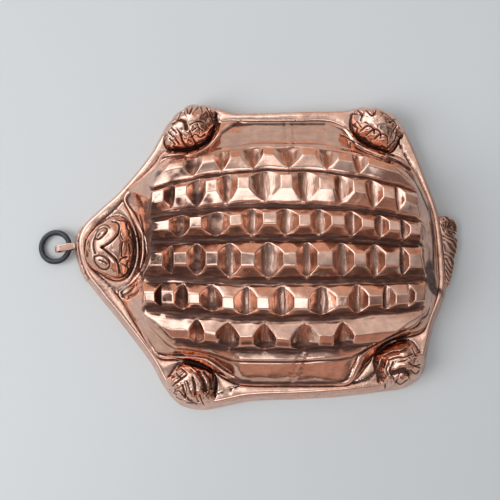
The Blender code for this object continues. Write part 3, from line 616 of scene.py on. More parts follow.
def make_piece(name, bm, finish, body="mould", slot="polished_copper", thickness=SHEET, lining=None,
               rounds=2, wide_rounds=14, extra=None, offset=-1.0):
    """The finished object of one piece: its mesh, its relief, its thickness and its place in the frame."""
    mesh = bpy.data.meshes.new(name)
    bm.to_mesh(mesh)
    bm.free()
    mesh.shade_smooth()
    places = read_vectors(mesh.vertices, "co")
    dirt = extra(places) if extra else np.zeros(len(places))
    # The pocket layer makes pockets cleaner; the other adds painted shade on right-hand slopes and darker
    # row fronts.
    for layer, strength in (("pocket", -POCKET_POLISH), ("shade_and_dark_front", SHADE_AND_FRONT_DARKNESS)):
        if layer in mesh.attributes:
            kept = np.empty(len(places), np.float32)
            mesh.attributes[layer].data.foreach_get("value", kept)
            dirt = dirt + strength * kept
    mark_relief(mesh, rounds, wide_rounds, dirt)
    mesh.materials.append(finish)
    if lining:
        mesh.materials.append(lining)
    made = bpy.data.objects.new(name + "_copper" if slot != "iron" else name + "_iron", mesh)
    bpy.context.scene.collection.objects.link(made)
    if thickness:
        sheet = made.modifiers.new("sheet", "SOLIDIFY")
        sheet.thickness = thickness
        sheet.offset = offset
        sheet.material_offset = 1 if lining else 0
    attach(made, body)
    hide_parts(name)
    print(made.name, "has", len(mesh.polygons), "faces before its thickness")
    return made

# %% [markdown]
# ## The wall
#
# The wall is one strip of sheet, bent round and leaning in. It starts as a closed ring on the table and
# is extruded upwards, ring by ring. Lofting a curve would also work, but extruding keeps every ring's
# points above each other, so that the lean stays even round the tight corners.

# %% Build the wall
WALL_POINTS = 420
WALL_INSET = 0.42 * MM
WALL_LEVELS = (0.3, 0.6, 1.2, 2.2, 4.0, 6.0, 8.0, 9.6, WALL_TOP / MM)
WALL_WAVES = ((26 * MM, 0.25 * MM), (7 * MM, 0.06 * MM))
# The slight roll above the wall's foot, with its level and reach in millimetres, and how far the painted
# shade reaches down from the wall's top, where the deck's edge turns down over it.
WALL_ROLL, ROLL_LEVEL, ROLL_REACH = 0.075 * MM, 1.2, 1.0
TOP_SHADE_REACH = 1.6 * MM


def build_wall():
    bm = bmesh.new()
    along = rim.even(WALL_POINTS)
    edge, out = rim.at(along), rim.outward(along)
    ring = close_ring(bm, edge - out * WALL_INSET, WALL_LEVELS[0] * MM)
    for level in WALL_LEVELS[1:]:
        height = level * MM
        roll = WALL_ROLL * bell(level - ROLL_LEVEL, ROLL_REACH)
        ring = extrude_ring(bm, ring, lifted(edge - out * (lean(height) + WALL_INSET - roll), height))
    face_away(bm)
    hammer(bm, WALL_WAVES, 3, still=lambda co: min(1.0, co.z / (3 * MM)))

    def grime_and_shade(places):
        # Painted shade at the wall's top, where the deck's edge turns down over it; the rest a little
        # cleaner.
        top = np.clip((places[:, 2] - WALL_TOP) / TOP_SHADE_REACH + 1, 0, 1)
        return 1.3 * top ** 2 - 0.2

    return make_piece("skirt", bm, rubbed, slot="wall_copper", lining=tin, extra=grime_and_shade)


build_wall()

# %% [markdown]
# ## The deck
#
# The deck is flat, so its shape is only its outlines: the turned-down edge outside, and a hole under
# the dome, the head and each foot, where the hollow pieces open into the base. A fill between the
# outlines makes long thin triangles, which is fine for a flat face but gives the dirt nowhere to sit.
# So the flat part is then cut into small squares with planes.

# %% Lines of the feet
FEET = {
    "front_left_foot": (
        ((-52, 106.5), (-45, 110.5), (-36, 111), (-31, 107.5), (-29.5, 101.5), (-30.5, 95), (-34.5, 88.5),
         (-40.5, 84.5), (-48, 82.5), (-56, 82), (-62, 84), (-63.5, 89.5), (-62, 95), (-58, 101)),
        (-46, 96), 112,
    ),
    "rear_left_foot": (
        ((105.5, 80.5), (99.5, 83.5), (93, 86.5), (87, 91), (83.5, 95.5), (82, 101), (82.5, 105.5),
         (86, 108.5), (92, 109), (99, 108), (106, 105.5), (112.5, 101.5), (115, 97), (113.5, 90),
         (110.5, 84)),
        (98, 97), 62,
    ),
    "front_right_foot": (
        ((-47, -87), (-39, -87.5), (-33, -91.5), (-29.5, -97), (-29, -104), (-31, -110), (-37, -112),
         (-44, -110.5), (-50.5, -107.5), (-55.5, -102), (-57, -96.5), (-53, -90.5)),
        (-43.5, -99.5), -112,
    ),
    "rear_right_foot": (
        ((98.5, -79.5), (104, -76), (111.5, -72.5), (118.5, -71.5), (123, -75), (125.5, -80.5), (126, -86),
         (124, -90), (119.5, -93.5), (114, -96.5), (107.5, -98), (101.5, -98), (99, -93.5), (98, -86)),
        (112, -85), -58,
    ),
}
TOE_COUNT = 4
TOE_SCALLOP = 0.07
FOOT_TO_RIM, FOOT_TO_DOME = 1.8 * MM, 0.9 * MM
# How far the solder may reach from a foot, in millimetres: at its sides, and how much more at its toes
# and at its heel. It grows by small steps.
SOLDER_SIDE, SOLDER_TOES, SOLDER_HEEL = 2.5, 6.5, 3.0
SOLDER_STEP, SOLDER_MOST = 0.25, 9.0
SEAT_WIDTH = 4.0 * MM


def between_toes(off):
    """How deep in the gap between two toes an angle off the foot's heading is, from 0 to 1."""
    spread = np.maximum(0.0, np.cos(off)) ** 0.3
    return spread * (1 - np.abs(np.sin(off * TOE_COUNT))) ** 1.5


def off_heading(arm, heading):
    """The angle between a foot's heading and arms from its middle, from -pi to pi."""
    return (np.arctan2(arm[:, 1], arm[:, 0]) - math.radians(heading) + math.pi) % (2 * math.pi) - math.pi


def foot_ring(name, count, filled=True):
    """A foot's outline on the deck, clockwise, drawn in between each two toes.

    The solder fills the corner: outwards to the wall, over the deck's edge, and inwards to the dome's foot.
    """
    outline, middle, heading = FEET[name]
    line = Line(outline)
    middle = np.array(middle) * MM
    arm = line.at(line.even(count)) - middle
    off = off_heading(arm, heading)
    gap = between_toes(off)
    if not filled:
        return middle + arm * (1 - TOE_SCALLOP * gap)[:, None]
    ahead = arm / np.linalg.norm(arm, axis=1, keepdims=True)
    facing = np.cos(off)
    more = np.where(facing > 0, SOLDER_TOES * np.abs(facing) ** 0.5, SOLDER_HEEL * np.abs(facing))
    most = (SOLDER_SIDE + more) * MM
    grown = np.zeros(count)
    for reach in np.arange(SOLDER_STEP, SOLDER_MOST, SOLDER_STEP) * MM:
        place = middle + arm + ahead * reach
        free = distance_to(place, rim.points) > FOOT_TO_RIM
        free &= distance_to(place, foot_line.points) > FOOT_TO_DOME
        grown = np.where(free & (grown > reach - 0.4 * MM) & (reach < most), reach, grown)
    grown = evened(grown, 8) * (1 - 0.75 * gap)
    return middle + arm * (1 - TOE_SCALLOP * gap)[:, None] + ahead * grown[:, None]


def inset(points, distance):
    """A closed clockwise line of points moved inwards."""
    along = np.roll(points, -1, axis=0) - np.roll(points, 1, axis=0)
    along /= np.linalg.norm(along, axis=1, keepdims=True)
    return points - np.column_stack([-along[:, 1], along[:, 0]]) * distance


foot_rings = {name: foot_ring(name, 220) for name in FEET}
print("feet:", ", ".join(FEET))

# %% Build the deck
DECK_GRID = 2.6 * MM
VALLEY_DEPTH, VALLEY_WIDTH = 0.6 * MM, 1.0 * MM
DIP_DEPTH, DIP_WIDTH = 0.35 * MM, 4.0 * MM
EDGE_TURNS = (15, 30, 45, 60, 75, 90)
DECK_WAVES = ((22 * MM, 0.35 * MM), (8 * MM, 0.08 * MM))
# Bands, each with its strength and its reach: painted shade low on the turned-down edge, dirt near the
# outlines, dirt and painted shade further from them, and dirt along the dome's foot. The last three fade
# out towards the rubbed edge.
LIP_SHADE, LIP_SHADE_DEPTH = (0.7, 0.5 * MM), 1.6 * MM
NEAR_DIRT, FAR_DIRT_AND_SHADE, DOME_DIRT = (0.65, 0.9 * MM), (0.15, 5 * MM), (0.5, 0.9 * MM)
RUBBED_EDGE = (4.5 * MM, 8 * MM)
FLATNESS = 1e-6
# Closer than this to an outline the deck's squares are cut in two, and then in two again.
FINE_REACHES = (6 * MM, 2.5 * MM)
# Lines chased into the deck beside the feet, and the dark corners: points, width and depth.
DECK_LINES = (
    (((78, -99.5), (87, -97), (95.5, -90)), 1.6, 0.9),
    (((-30, -91), (-26.5, -98), (-26, -106)), 2.6, 1.0),
    (((-30, -110), (-20, -106.5), (-8, -102)), 0.8, 0.7),
    (((109.5, 79), (114, 85), (115, 94)), 1.8, 1.0),
    (((115, 87), (119.5, 77), (124.5, 67)), 0.9, 0.9),
    (((-29, 108), (-25, 101), (-24, 97)), 2.2, 1.0),
    (((-66, 90), (-62, 82), (-56, 78)), 1.6, 0.8),
    (((-98, 39), (-107, 29.5), (-117, 20.5), (-123.5, 11)), 1.3, 0.7),
    (((-124, -6), (-118, -15), (-108, -24.5), (-98, -36)), 1.1, 0.7),
)
# The first two corners, round the head, are a painted dark reflection; the others are stains.
CORNER_STAINS_AND_REFLECTION = (
    (((-122, 13), (-116, 20), (-107.5, 26.5), (-101, 31)), 4.0, 0.55),
    (((-124.5, 8), (-125, 0), (-121, -10)), 3.0, 0.4),
    (((86, -98), (96, -92), (97, -84)), 5.0, 0.4), (((-28, -94), (-22, -100)), 6.0, 0.35),
    (((112, 82), (116, 88)), 4.0, 0.4), (((140, -28), (148, -33)), 5.0, 1.1),
)


def from_lines(places):
    """The distance of places on the deck to the nearest outline of a piece that stands on it."""
    outlines = [foot_line.points, head_line.points] + [closed(points) for points in foot_rings.values()]
    return np.min([distance_to(places, points) for points in outlines], axis=0)


def deck_level(places, away):
    """The deck's height: a narrow valley along the lines in a wide dip, the rounded edge, then the wall."""
    edge_gap = distance_to(places, rim.points)
    inner = lean(DECK_TOP - DECK_EDGE_RADIUS) + DECK_EDGE_RADIUS
    drop = VALLEY_DEPTH * bell(away, VALLEY_WIDTH) + DIP_DEPTH * bell(away, DIP_WIDTH)
    drop *= smooth(inner, inner + 3.0 * MM, edge_gap)
    over = np.clip((inner - edge_gap) / DECK_EDGE_RADIUS, 0, 1)
    level = DECK_TOP - drop - DECK_EDGE_RADIUS * (1 - np.sqrt(1 - over ** 2))
    outside = edge_gap < lean(DECK_TOP - DECK_EDGE_RADIUS)
    return np.where(outside, RIM_UPRIGHT + edge_gap / WALL_FLARE * (DECK_TOP - RIM_UPRIGHT), level)


def blotchy(places, size):
    """Uneven strength of dirt from place to place, about 1 on average."""
    values = [noise.noise(Vector((x / size, y / size, 0.7))) for x, y in places]
    return np.clip(1 + 1.6 * np.array(values), 0.15, 1.6)


def deck_outlines():
    """The edges of the deck's holes, a little inside the pieces that stand over them."""
    outlines = [inset(foot_line.at(foot_line.even(160)), SEAT_WIDTH)]
    outlines.append(inset(head_line.at(head_line.even(60)), SEAT_WIDTH))
    outlines += [inset(foot_ring(name, 20, False), SEAT_WIDTH) for name in FEET]
    return outlines


def on_top(items):
    """Those faces or edges that lie on the deck's flat top."""
    return [item for item in items if min(vert.co.z for vert in item.verts) > DECK_TOP - FLATNESS]


def cut_across(bm, axis, place):
    """Cut the faces of the flat top that a plane crosses."""
    across = Vector((1, 0, 0)) if axis == 0 else Vector((0, 1, 0))
    parts = set()
    for face in on_top(bm.faces):
        reach = [vert.co[axis] for vert in face.verts]
        if min(reach) < place < max(reach):
            parts.update([face], face.edges, face.verts)
    bmesh.ops.bisect_plane(bm, geom=list(parts), plane_co=across * place, plane_no=across, dist=1e-5)


def build_deck():
    bm = bmesh.new()
    along = rim.even(WALL_POINTS)
    edge, out = rim.at(along), rim.outward(along)
    shoulder = DECK_TOP - DECK_EDGE_RADIUS
    ring = close_ring(bm, edge - out * lean(LIP_BOTTOM), LIP_BOTTOM)
    for height in (LIP_BOTTOM + 1.2 * MM, shoulder):
        ring = extrude_ring(bm, ring, lifted(edge - out * lean(height), height))
    for angle in EDGE_TURNS:
        turned = math.radians(angle)
        inward = lean(shoulder) + DECK_EDGE_RADIUS * (1 - math.cos(turned))
        height = shoulder + DECK_EDGE_RADIUS * math.sin(turned)
        ring = extrude_ring(bm, ring, lifted(edge - out * inward, height))
    border = ring_edges(bm, ring)
    for outline in deck_outlines():
        border += ring_edges(bm, close_ring(bm, outline, DECK_TOP))
    bmesh.ops.triangle_fill(bm, use_beauty=True, edges=border, normal=(0, 0, 1))
    for axis in (0, 1):
        for place in np.arange(wall_low[axis] + DECK_GRID, wall_high[axis], DECK_GRID):
            cut_across(bm, axis, place)
    for reach in FINE_REACHES:
        flat_edges = on_top(bm.edges)
        middles = drawn([(edge.verts[0].co + edge.verts[1].co) / 2 for edge in flat_edges])
        near = [edge for edge, away in zip(flat_edges, from_lines(middles)) if away < reach]
        bmesh.ops.subdivide_edges(bm, edges=near, cuts=1, use_grid_fill=True)
    bmesh.ops.triangulate(bm, faces=[face for face in bm.faces if len(face.verts) > 4])
    face_up(bm)
    top = [vert for vert in bm.verts if vert.co.z > DECK_TOP - FLATNESS]
    places = drawn([vert.co for vert in top])
    heights = deck_level(places, from_lines(places)) + chase(places, DECK_LINES)
    for vert, height in zip(top, heights):
        vert.co.z = min(vert.co.z, height)
    hammer(bm, DECK_WAVES, 5, still=lambda co: 1.0 if co.z > DECK_TOP - 2 * MM else 0.1)

    def grime_and_shade(places):
        flat_places = drawn(places)
        away = from_lines(flat_places)
        inside = smooth(*RUBBED_EDGE, distance_to(flat_places, rim.points))
        # Painted shade low on the turned-down edge, where it meets the wall.
        edge = band(places[:, 2] - DECK_TOP + LIP_SHADE_DEPTH, *LIP_SHADE)
        # Dirt near the outlines, and dirt with painted shade further out beside the pieces.
        dirt = band(away, *NEAR_DIRT) + band(away, *FAR_DIRT_AND_SHADE)
        dirt += band(distance_to(flat_places, foot_line.points), *DOME_DIRT)
        # Chased lines, and stains with the painted dark reflection round the head.
        chased = line_dirt_and_reflection(flat_places, DECK_LINES) + line_dirt_and_reflection(flat_places, CORNER_STAINS_AND_REFLECTION, 1.0)
        return edge + chased + inside * dirt * blotchy(flat_places, 6 * MM)

    return make_piece("deck", bm, polished, lining=tin, rounds=1, wide_rounds=4, extra=grime_and_shade)


build_deck()

# %% [markdown]
# ## The back
#
# The back is the showpiece: six rows of flat-topped studs on a dome, with a round gutter between the
# rows and a scooped pocket between each two studs. Each row starts as a flat strip with one square for
# each stud. Every square is inset and its middle lifted, its edges are rounded, and the finished strip
# is bent over the dome. That is close to how a smith sees it: a band first, then one boss after
# another. A height field on a fine grid was the other way, but its ridges would run across the grid
# and look stepped, and on polished metal every step shows.

# %% The dome and the places of the rows
DOME_TOP, DOME_SIDE_DROP, DOME_HALF_WIDTH = 66.0 * MM, 23.0 * MM, 77.0 * MM
DOME_MIDDLE_X = 20.0 * MM
DOME_FRONT_DROP, DOME_FRONT_REACH = 7.0 * MM, 90.0 * MM
DOME_REAR_DROP, DOME_REAR_REACH = 16.0 * MM, 105.0 * MM
SIDE_POWER, END_POWER = 2.4, 2.5
ROW_LINES = (
    (75.0, 18.0), (54.5, 15.0), (26.0, 7.0), (1.8, 2.0), (-29.0, -3.5), (-55.0, -8.0), (-78.5, -11.0),
)
PLATEAUS = (
    (-52, -30, -10, 14, 44, 69, 91),
    (-65, -49, -27, -4, 27, 55, 78, 100, 117),
    (-61, -37, -10, 14, 39, 62, 83, 103, 119),
    (-64, -48, -26, -1, 28, 53, 78, 101, 118),
    (-70, -57, -39, -15, 10, 37, 65, 88, 108, 122),
    (-46, -28, -2, 24, 55, 79),
)
ROW_END = 6.5 * MM
# The lines between the rows bow about this place, and waver by so much with waves of this length.
BOW_MIDDLE, BOW_REACH = 25, 100
LINE_WAVER, WAVER_LENGTH = 1.3 * MM, 16 * MM
PYRAMID_HEIGHT = 6.9 * MM
# For each row: how much painted shade darkens its right-hand slopes and how much darker its front end is,
# how far its flats lie to the left, as a share of its half width, and its height, as a share of the usual
# one.
ROW_SLOPE_SHADE = (0.1, 0.3, 0.95, 1.0, 0.95, 2.0)
ROW_FRONT_DARKENING = (0.2, 0.9, 1.6, 1.6, 0.3, 0.3)
ROW_SHIFTS = (0.26, 0.10, 0.0, 0.0, -0.05, -0.10)
ROW_HEIGHTS = (0.72, 0.92, 1.0, 1.0, 1.0, 0.95)
PLATEAU_LENGTH = 9.0 * MM
PLATEAU_SHARE = 0.36
GUTTER_HALF_WIDTHS = tuple(width * MM for width in (2.4, 1.6, 2.5, 2.6, 3.0, 2.9, 2.6))
GUTTER_DEPTH = 2.0 * MM
EDGE_ROUNDING = 0.45 * MM
FACET_SIZE = 1.3 * MM
POCKET_BOW, POCKET_POWER = 0.68, 2.1
POCKET_SCOOP = 0.9 * MM
# How uneven the studs are. Jitters and heights are in millimetres, tilts in radians, the rest are shares.
VALLEY_JITTER, MIDDLE_JITTER, ACROSS_JITTER, TILT = 0.8, 0.6, 0.7, 0.07
LENGTH_SPREAD, WIDTH_SPREAD, HEIGHT_SPREAD = (0.85, 1.15), (0.88, 1.14), (-0.9, 0.2)
# The most of its cell that a plateau takes up, and how much height the rearmost studs lose.
LONGEST_SHARE, REAR_LOSS = 0.52, 0.5
chance = random.Random(11)


def dome_height(x, y):
    """The dome's height over a place on the drawing: it falls away to the sides, the front and the rear."""
    height = DOME_TOP - DOME_SIDE_DROP * (abs(y) / DOME_HALF_WIDTH) ** SIDE_POWER
    if x > DOME_MIDDLE_X:
        return height - DOME_REAR_DROP * ((x - DOME_MIDDLE_X) / DOME_REAR_REACH) ** END_POWER
    return height - DOME_FRONT_DROP * ((DOME_MIDDLE_X - x) / DOME_FRONT_REACH) ** END_POWER


def dome_point(x, y, lift=0.0):
    """A point on the dome, or off it along its normal, in the frame."""
    step = 0.5 * MM
    slope_x = (dome_height(x + step, y) - dome_height(x - step, y)) / (2 * step)
    slope_y = (dome_height(x, y + step) - dome_height(x, y - step)) / (2 * step)
    normal = Vector((-slope_x, -slope_y, 1)).normalized()
    return Vector((x + SHIFT[0], y + SHIFT[1], dome_height(x, y))) + normal * lift


def line_y(line, x):
    """Where a line between two rows runs: bowed towards the middle at the front and rear."""
    middle, bow = ROW_LINES[line]
    waver = LINE_WAVER * noise.noise(Vector((x / WAVER_LENGTH, line * 3.7, 0.2)))
    return (middle - bow * ((x / MM - BOW_MIDDLE) / BOW_REACH) ** 2) * MM + waver


def line_end(line, side):
    """Where a line between rows stops, in front (side -1) or behind (side 1)."""
    rows = [PLATEAUS[row] for row in (line - 1, line) if 0 <= row < len(PLATEAUS)]
    if side < 0:
        return min(row[0] for row in rows) * MM - ROW_END
    return max(row[-1] for row in rows) * MM + ROW_END


print(sum(len(row) for row in PLATEAUS), "studs in", len(PLATEAUS), "rows")

# %% [markdown]
# On the flat strip the slopes between two studs meet in a sharp V. In the real sheet they were worked
# down with a round punch, so each pocket is a scoop with a bowed rim. The strip's points are moved to
# that shape just before they are bent over the dome: sideways, to bow the rim, and down, to round the V.

# %% One row of studs
def stud_cells(row):
    """For each stud of a row: its middle, half length and the two valleys beside it, a little uneven."""
    places = [place * MM for place in PLATEAUS[row]]
    valleys = [(here + after) / 2 + chance.uniform(-VALLEY_JITTER, VALLEY_JITTER) * MM
               for here, after in zip(places, places[1:])]
    valleys = [places[0] - ROW_END] + valleys + [places[-1] + ROW_END]
    cells = []
    for place, before, after in zip(places, valleys, valleys[1:]):
        half = min(PLATEAU_LENGTH, LONGEST_SHARE * (after - before)) / 2 * chance.uniform(*LENGTH_SPREAD)
        cells.append((place + chance.uniform(-MIDDLE_JITTER, MIDDLE_JITTER) * MM, half, before, after))
    return cells


def flat_row(cells, half_width):
    """The strip with its studs, still flat: x along the row, y across it and z up from the dome."""
    bm = bmesh.new()
    strip = bmesh.ops.create_grid(bm, x_segments=len(cells), y_segments=1, size=1.0)["verts"]
    valleys = [cell[2] for cell in cells] + [cells[-1][3]]
    for vert in strip:
        column = round((vert.co.x + 1) / 2 * len(cells))
        vert.co = (valleys[column], math.copysign(half_width, vert.co.y), 0.0)
    squares = sorted(bm.faces, key=lambda face: face.calc_center_median().x)
    bmesh.ops.inset_individual(bm, faces=squares, thickness=1.0 * MM, use_even_offset=False)
    for square, (middle, half_length, before, after) in zip(squares, cells):
        centre = square.calc_center_median()
        across = chance.uniform(-ACROSS_JITTER, ACROSS_JITTER) * MM
        half_across = half_width * PLATEAU_SHARE * chance.uniform(*WIDTH_SPREAD)
        lift = PYRAMID_HEIGHT + chance.uniform(*HEIGHT_SPREAD) * MM
        lift *= 1 - REAR_LOSS * float(smooth(92 * MM, 124 * MM, middle))
        lean_x, lean_y, turn = (chance.uniform(-TILT, TILT) for number in range(3))
        for vert in square.verts:
            a = math.copysign(half_length, vert.co.x - centre.x)
            b = math.copysign(half_across, vert.co.y - centre.y)
            rise = lift + a * lean_x + b * lean_y
            vert.co = (middle + a - b * turn, across + b + a * turn, min(rise, PYRAMID_HEIGHT))
    ridges = [edge for edge in bm.edges if max(vert.co.z for vert in edge.verts) > MM]
    bmesh.ops.bevel(bm, geom=ridges, offset=EDGE_ROUNDING, offset_type="OFFSET", segments=3, profile=0.5,
                    affect="EDGES", clamp_overlap=True, material=-1, loop_slide=True)
    for size in (FACET_SIZE * 4, FACET_SIZE * 2, FACET_SIZE):
        long_edges = [edge for edge in bm.edges if edge.calc_length() > size]
        bmesh.ops.subdivide_edges(bm, edges=long_edges, cuts=1, use_grid_fill=True)
    return bm


def scoop(x, v, height, cells):
    """A point of the flat strip in a scooped pocket: its x, its height and how deep in the pocket it is.

    v is the point's share of the strip's half width.
    """
    middle, half_length, before, after = next((cell for cell in cells if x <= cell[3]), cells[-1])
    valley = before if x < middle else after
    if valley in (cells[0][2], cells[-1][3]):
        return x, height, 0.0
    reach = abs(middle - valley)
    full = reach - half_length
    q = min(0.97, max(0.0, (abs(v) - PLATEAU_SHARE) / (1 - PLATEAU_SHARE)))
    straight, bowed = full * (1 - q), full * (1 - q) ** POCKET_BOW
    away = abs(x - valley)
    side = math.copysign(1.0, x - valley)
    if away >= straight:
        moved = bowed + (away - straight) * (reach - bowed) / (reach - straight)
        return valley + side * moved, height, 0.0
    share = away / straight
    rim = min(PYRAMID_HEIGHT * (1 - q), height / max(share, 0.02))
    drop = min(height, rim * share) - rim * share ** POCKET_POWER
    deep = (1 - share ** 2) * (1 - v ** 2)
    return valley + side * away * bowed / straight, height - drop - POCKET_SCOOP * deep, 1 - share ** 3


def make_row(row):
    """One row of studs, bent over the dome."""
    cells = stud_cells(row)
    middle_x = BOW_MIDDLE * MM
    above, below = GUTTER_HALF_WIDTHS[row:row + 2]
    half_width = (line_y(row, middle_x) - above - line_y(row + 1, middle_x) - below) / 2
    bm = flat_row(cells, half_width)
    pocket, shade_and_dark_front = bm.verts.layers.float.new("pocket"), bm.verts.layers.float.new("shade_and_dark_front")
    first_face = cells[0][0] - cells[0][1]
    ends = [(place, [line_end(line, side) for line in (row, row + 1)])
            for place, side in ((cells[0][2], -1), (cells[-1][3], 1))]
    for vert in bm.verts:
        v = max(-1.0, min(1.0, vert.co.y / half_width))
        x, height, sunk = scoop(vert.co.x, v, vert.co.z, cells)
        right = float(smooth(-PLATEAU_SHARE, -PLATEAU_SHARE - 0.15, v))
        vert[pocket] = sunk
        # Painted shade on the right-hand slopes outside the pockets, and a darker front end of the row.
        vert[shade_and_dark_front] = ROW_SLOPE_SHADE[row] * right * (1 - sunk)
        vert[shade_and_dark_front] += ROW_FRONT_DARKENING[row] * float(smooth(first_face, first_face - 2 * MM, x))
        for (place, (upper, lower)), cell in zip(ends, (cells[0], cells[-1])):
            span = abs(cell[0] - place)
            near = max(0.0, 1 - abs(x - place) / span)
            x += near * ((upper * (1 + v) + lower * (1 - v)) / 2 - place)
        upper = line_y(row, x) - above
        lower = line_y(row + 1, x) + below
        v += ROW_SHIFTS[row] * (1 - v * v)
        vert.co = dome_point(x, (upper * (1 + v) + lower * (1 - v)) / 2, height * ROW_HEIGHTS[row])
    mesh = bpy.data.meshes.new("row")
    bm.to_mesh(mesh)
    bm.free()
    return mesh


def open_loop(start):
    """The points of an open edge, in order, from one of them round to the last."""
    loop = [start]
    before = None
    while True:
        links = [edge.other_vert(loop[-1]) for edge in loop[-1].link_edges if edge.is_boundary]
        after = next(vert for vert in links if vert is not before)
        if after is start:
            return loop
        before = loop[-1]
        loop.append(after)


def long_sides(bm):
    """For each line, the edge of the row above it (1) and of the row below it (-1), from front to rear."""
    sides = {}
    edge_points = [vert for vert in bm.verts if vert.is_boundary]
    for row in range(len(PLATEAUS)):
        corners = []
        for line, side in ((row, -1), (row + 1, 1)):
            for end in (-1, 1):
                x = line_end(line, end)
                corners.append(dome_point(x, line_y(line, x) + side * GUTTER_HALF_WIDTHS[line]))
        first = min(edge_points, key=lambda vert: (vert.co - corners[0]).length)
        loop = open_loop(first)
        places = [min(range(len(loop)), key=lambda i: (loop[i].co - corner).length) for corner in corners]
        if places[1] > places[2]:
            loop = loop[:1] + loop[:0:-1]
            places = [(len(loop) - place) % len(loop) for place in places]
        sides[row, -1] = loop[:places[1] + 1]
        sides[row + 1, 1] = loop[places[3]:places[2] + 1][::-1]
    return sides

# %% [markdown]
# Between two rows the sheet dips into a gutter. Each side of the gutter is an extrusion of the row's
# own edge, pulled down and in. The two sides rarely have as many points as each other, because one row
# has more studs than the next, so the narrow floor between them is made with bridge_loops, which joins
# unlike edges.

# %% The gutters
GUTTER_STEPS = (0.78, 0.55, 0.33, 0.13)


def chain_edges(bm, chain):
    return [bm.edges.get((a, b)) for a, b in zip(chain, chain[1:])]


def sink_chain(bm, chain, line, side):
    """From a row's edge down to the gutter's floor. side is 1 above the line and -1 below it."""
    for share in GUTTER_STEPS:
        places = []
        for vert in chain:
            x = vert.co.x - SHIFT[0]
            y = line_y(line, x) + side * share * GUTTER_HALF_WIDTHS[line]
            places.append(dome_point(x, y, -GUTTER_DEPTH * (1 - share ** 2)))
        chain = extrude_line(bm, chain, chain_edges(bm, chain), places)
    return chain


def add_gutters(bm):
    sides = long_sides(bm)
    for line in range(len(ROW_LINES)):
        floors = [sink_chain(bm, sides[line, side], line, side) for side in (1, -1) if (line, side) in sides]
        print("line", line, "has edges of", [len(floor) for floor in floors], "points")
        if len(floors) == 2:
            bmesh.ops.bridge_loops(bm, edges=chain_edges(bm, floors[0]) + chain_edges(bm, floors[1]))

# %% [markdown]
# ### The slopes round the rows
#
# From the outer rows the sheet runs down to the deck. What it does on the way differs: a margin with a
# bead along the left side and a shelf along the right one, a hem over each leg, a collar round the neck.
# The slope is extruded ring by ring from the edge of the rows. Each ring has its own share of the way
# down, and a few named profiles give the ribbon, the bead, the shelf and the ribs.

# %% Profiles of the slopes
# How much ribbon and bead each stretch has, and its slope: over 1 it is hollow, and under 1 it is round.
STRETCHES = {
    "margin": (0.0, 1.0, 0.95),
    "hem": (1.0, 0.7, 1.3),
    "cheek": (0.0, 0.0, 0.9),
    "collar": (1.0, 0.0, 2.6),
    "rear": (0.3, 0.0, 0.85),
}
# Places on the edge of the rows, each with the place on the dome's foot that it faces.
SPOKES = (
    ((-60, 62), (-67, 76)), ((-30, 69), (-28, 92)), ((-8, 73), (-8, 102)), ((62, 73), (62, 101.5)),
    ((97, 66), (104, 77.5)), ((124, 20), (142, 16)), ((125, -22), (143, -27)), ((85, -73), (96.5, -75.5)),
    ((62, -77), (71, -101)), ((-6, -77), (-6, -101)), ((-53, -73), (-70, -79)), ((-72, -27), (-99, -32)),
    ((-71, 25), (-96.5, 40.5)),
)
RIBBON_HEIGHT, RIBBON_FULL_WIDTH = 3.8 * MM, 6.0 * MM
CREASE_WIDTH, CREASE_SHARE = 0.9 * MM, 0.18
BEAD_WIDTH, BEAD_HEIGHT = 5.0 * MM, 1.2 * MM
SHELF_WIDTH, SHELF_HEIGHT = 6.5 * MM, 3.9 * MM
# From here to here, going right, the margin changes from the left one's make to the right one's: there the
# ribbons are higher and the slope is rounder.
RIGHT_FROM, RIGHT_TO = -20 * MM, -60 * MM
LEFT_RIBBON_LOSS, RIGHT_ROUNDING = 1.3 * MM, 0.22
# The most of a slope's length that its ribbon and its bead take up.
MOST_RIBBON, MOST_BEAD = 0.6, 0.3
FOOT_STEP = 1.5 * MM
# The rings lie a little closer in the middle of the slope, and lose the wavering of the rows' edge fast.
SLOPE_RINGS, RING_CROWDING, KEPT_POWER = 38, 0.10, 5
# How often the edge of the rows is evened, in height and in plan, for the rings further down.
EDGE_ROUNDS, PLAN_ROUNDS = 900, 60
# What each ring keeps of the pocket value and of the painted shade of the ring above it.
TONE_KEPT = 0.7


def ribbon_profile(from_foot, width):
    """The ribbon's height at distances from the dome's foot, as a share, with a crease above it."""
    across = from_foot / width
    roll = np.sqrt(np.clip(1 - ((across - 0.46) / 0.47) ** 2, 0, 1))
    return roll - CREASE_SHARE * bell(from_foot - width, CREASE_WIDTH)


def bead_profile(from_edge, width):
    """The bead's height at distances from the edge of the rows, with a dark line beyond it."""
    return bell(from_edge - 0.5 * width, 0.28 * width) - 0.5 * bell(from_edge - 1.12 * width, 0.13 * width)


def shelf_profile(from_edge, width):
    """The shelf above the right margin: it falls less than the slope does, and ends in a sharp step."""
    across = from_edge / width
    return across * (1 - smooth(1.0, 1.18, across)) - 0.3 * bell(across - 1.22, 0.12)


def stretch_values(distances):
    """The ribbon, bead, slope and ribbon width at distances along the dome's foot."""
    marks = [(foot_line.nearest(x, y), (*STRETCHES[kind], width * MM)) for x, y, kind, width in DOME_FOOT]
    marks.sort()
    at = np.array([mark for mark, values in marks])
    table = np.array([values for mark, values in marks])
    at = np.concatenate([[at[-1] - foot_line.total], at, [at[0] + foot_line.total]])
    table = np.vstack([table[-1], table, table[0]])
    wrapped = np.mod(distances, foot_line.total)
    return [np.interp(wrapped, at, table[:, i]) for i in range(4)]


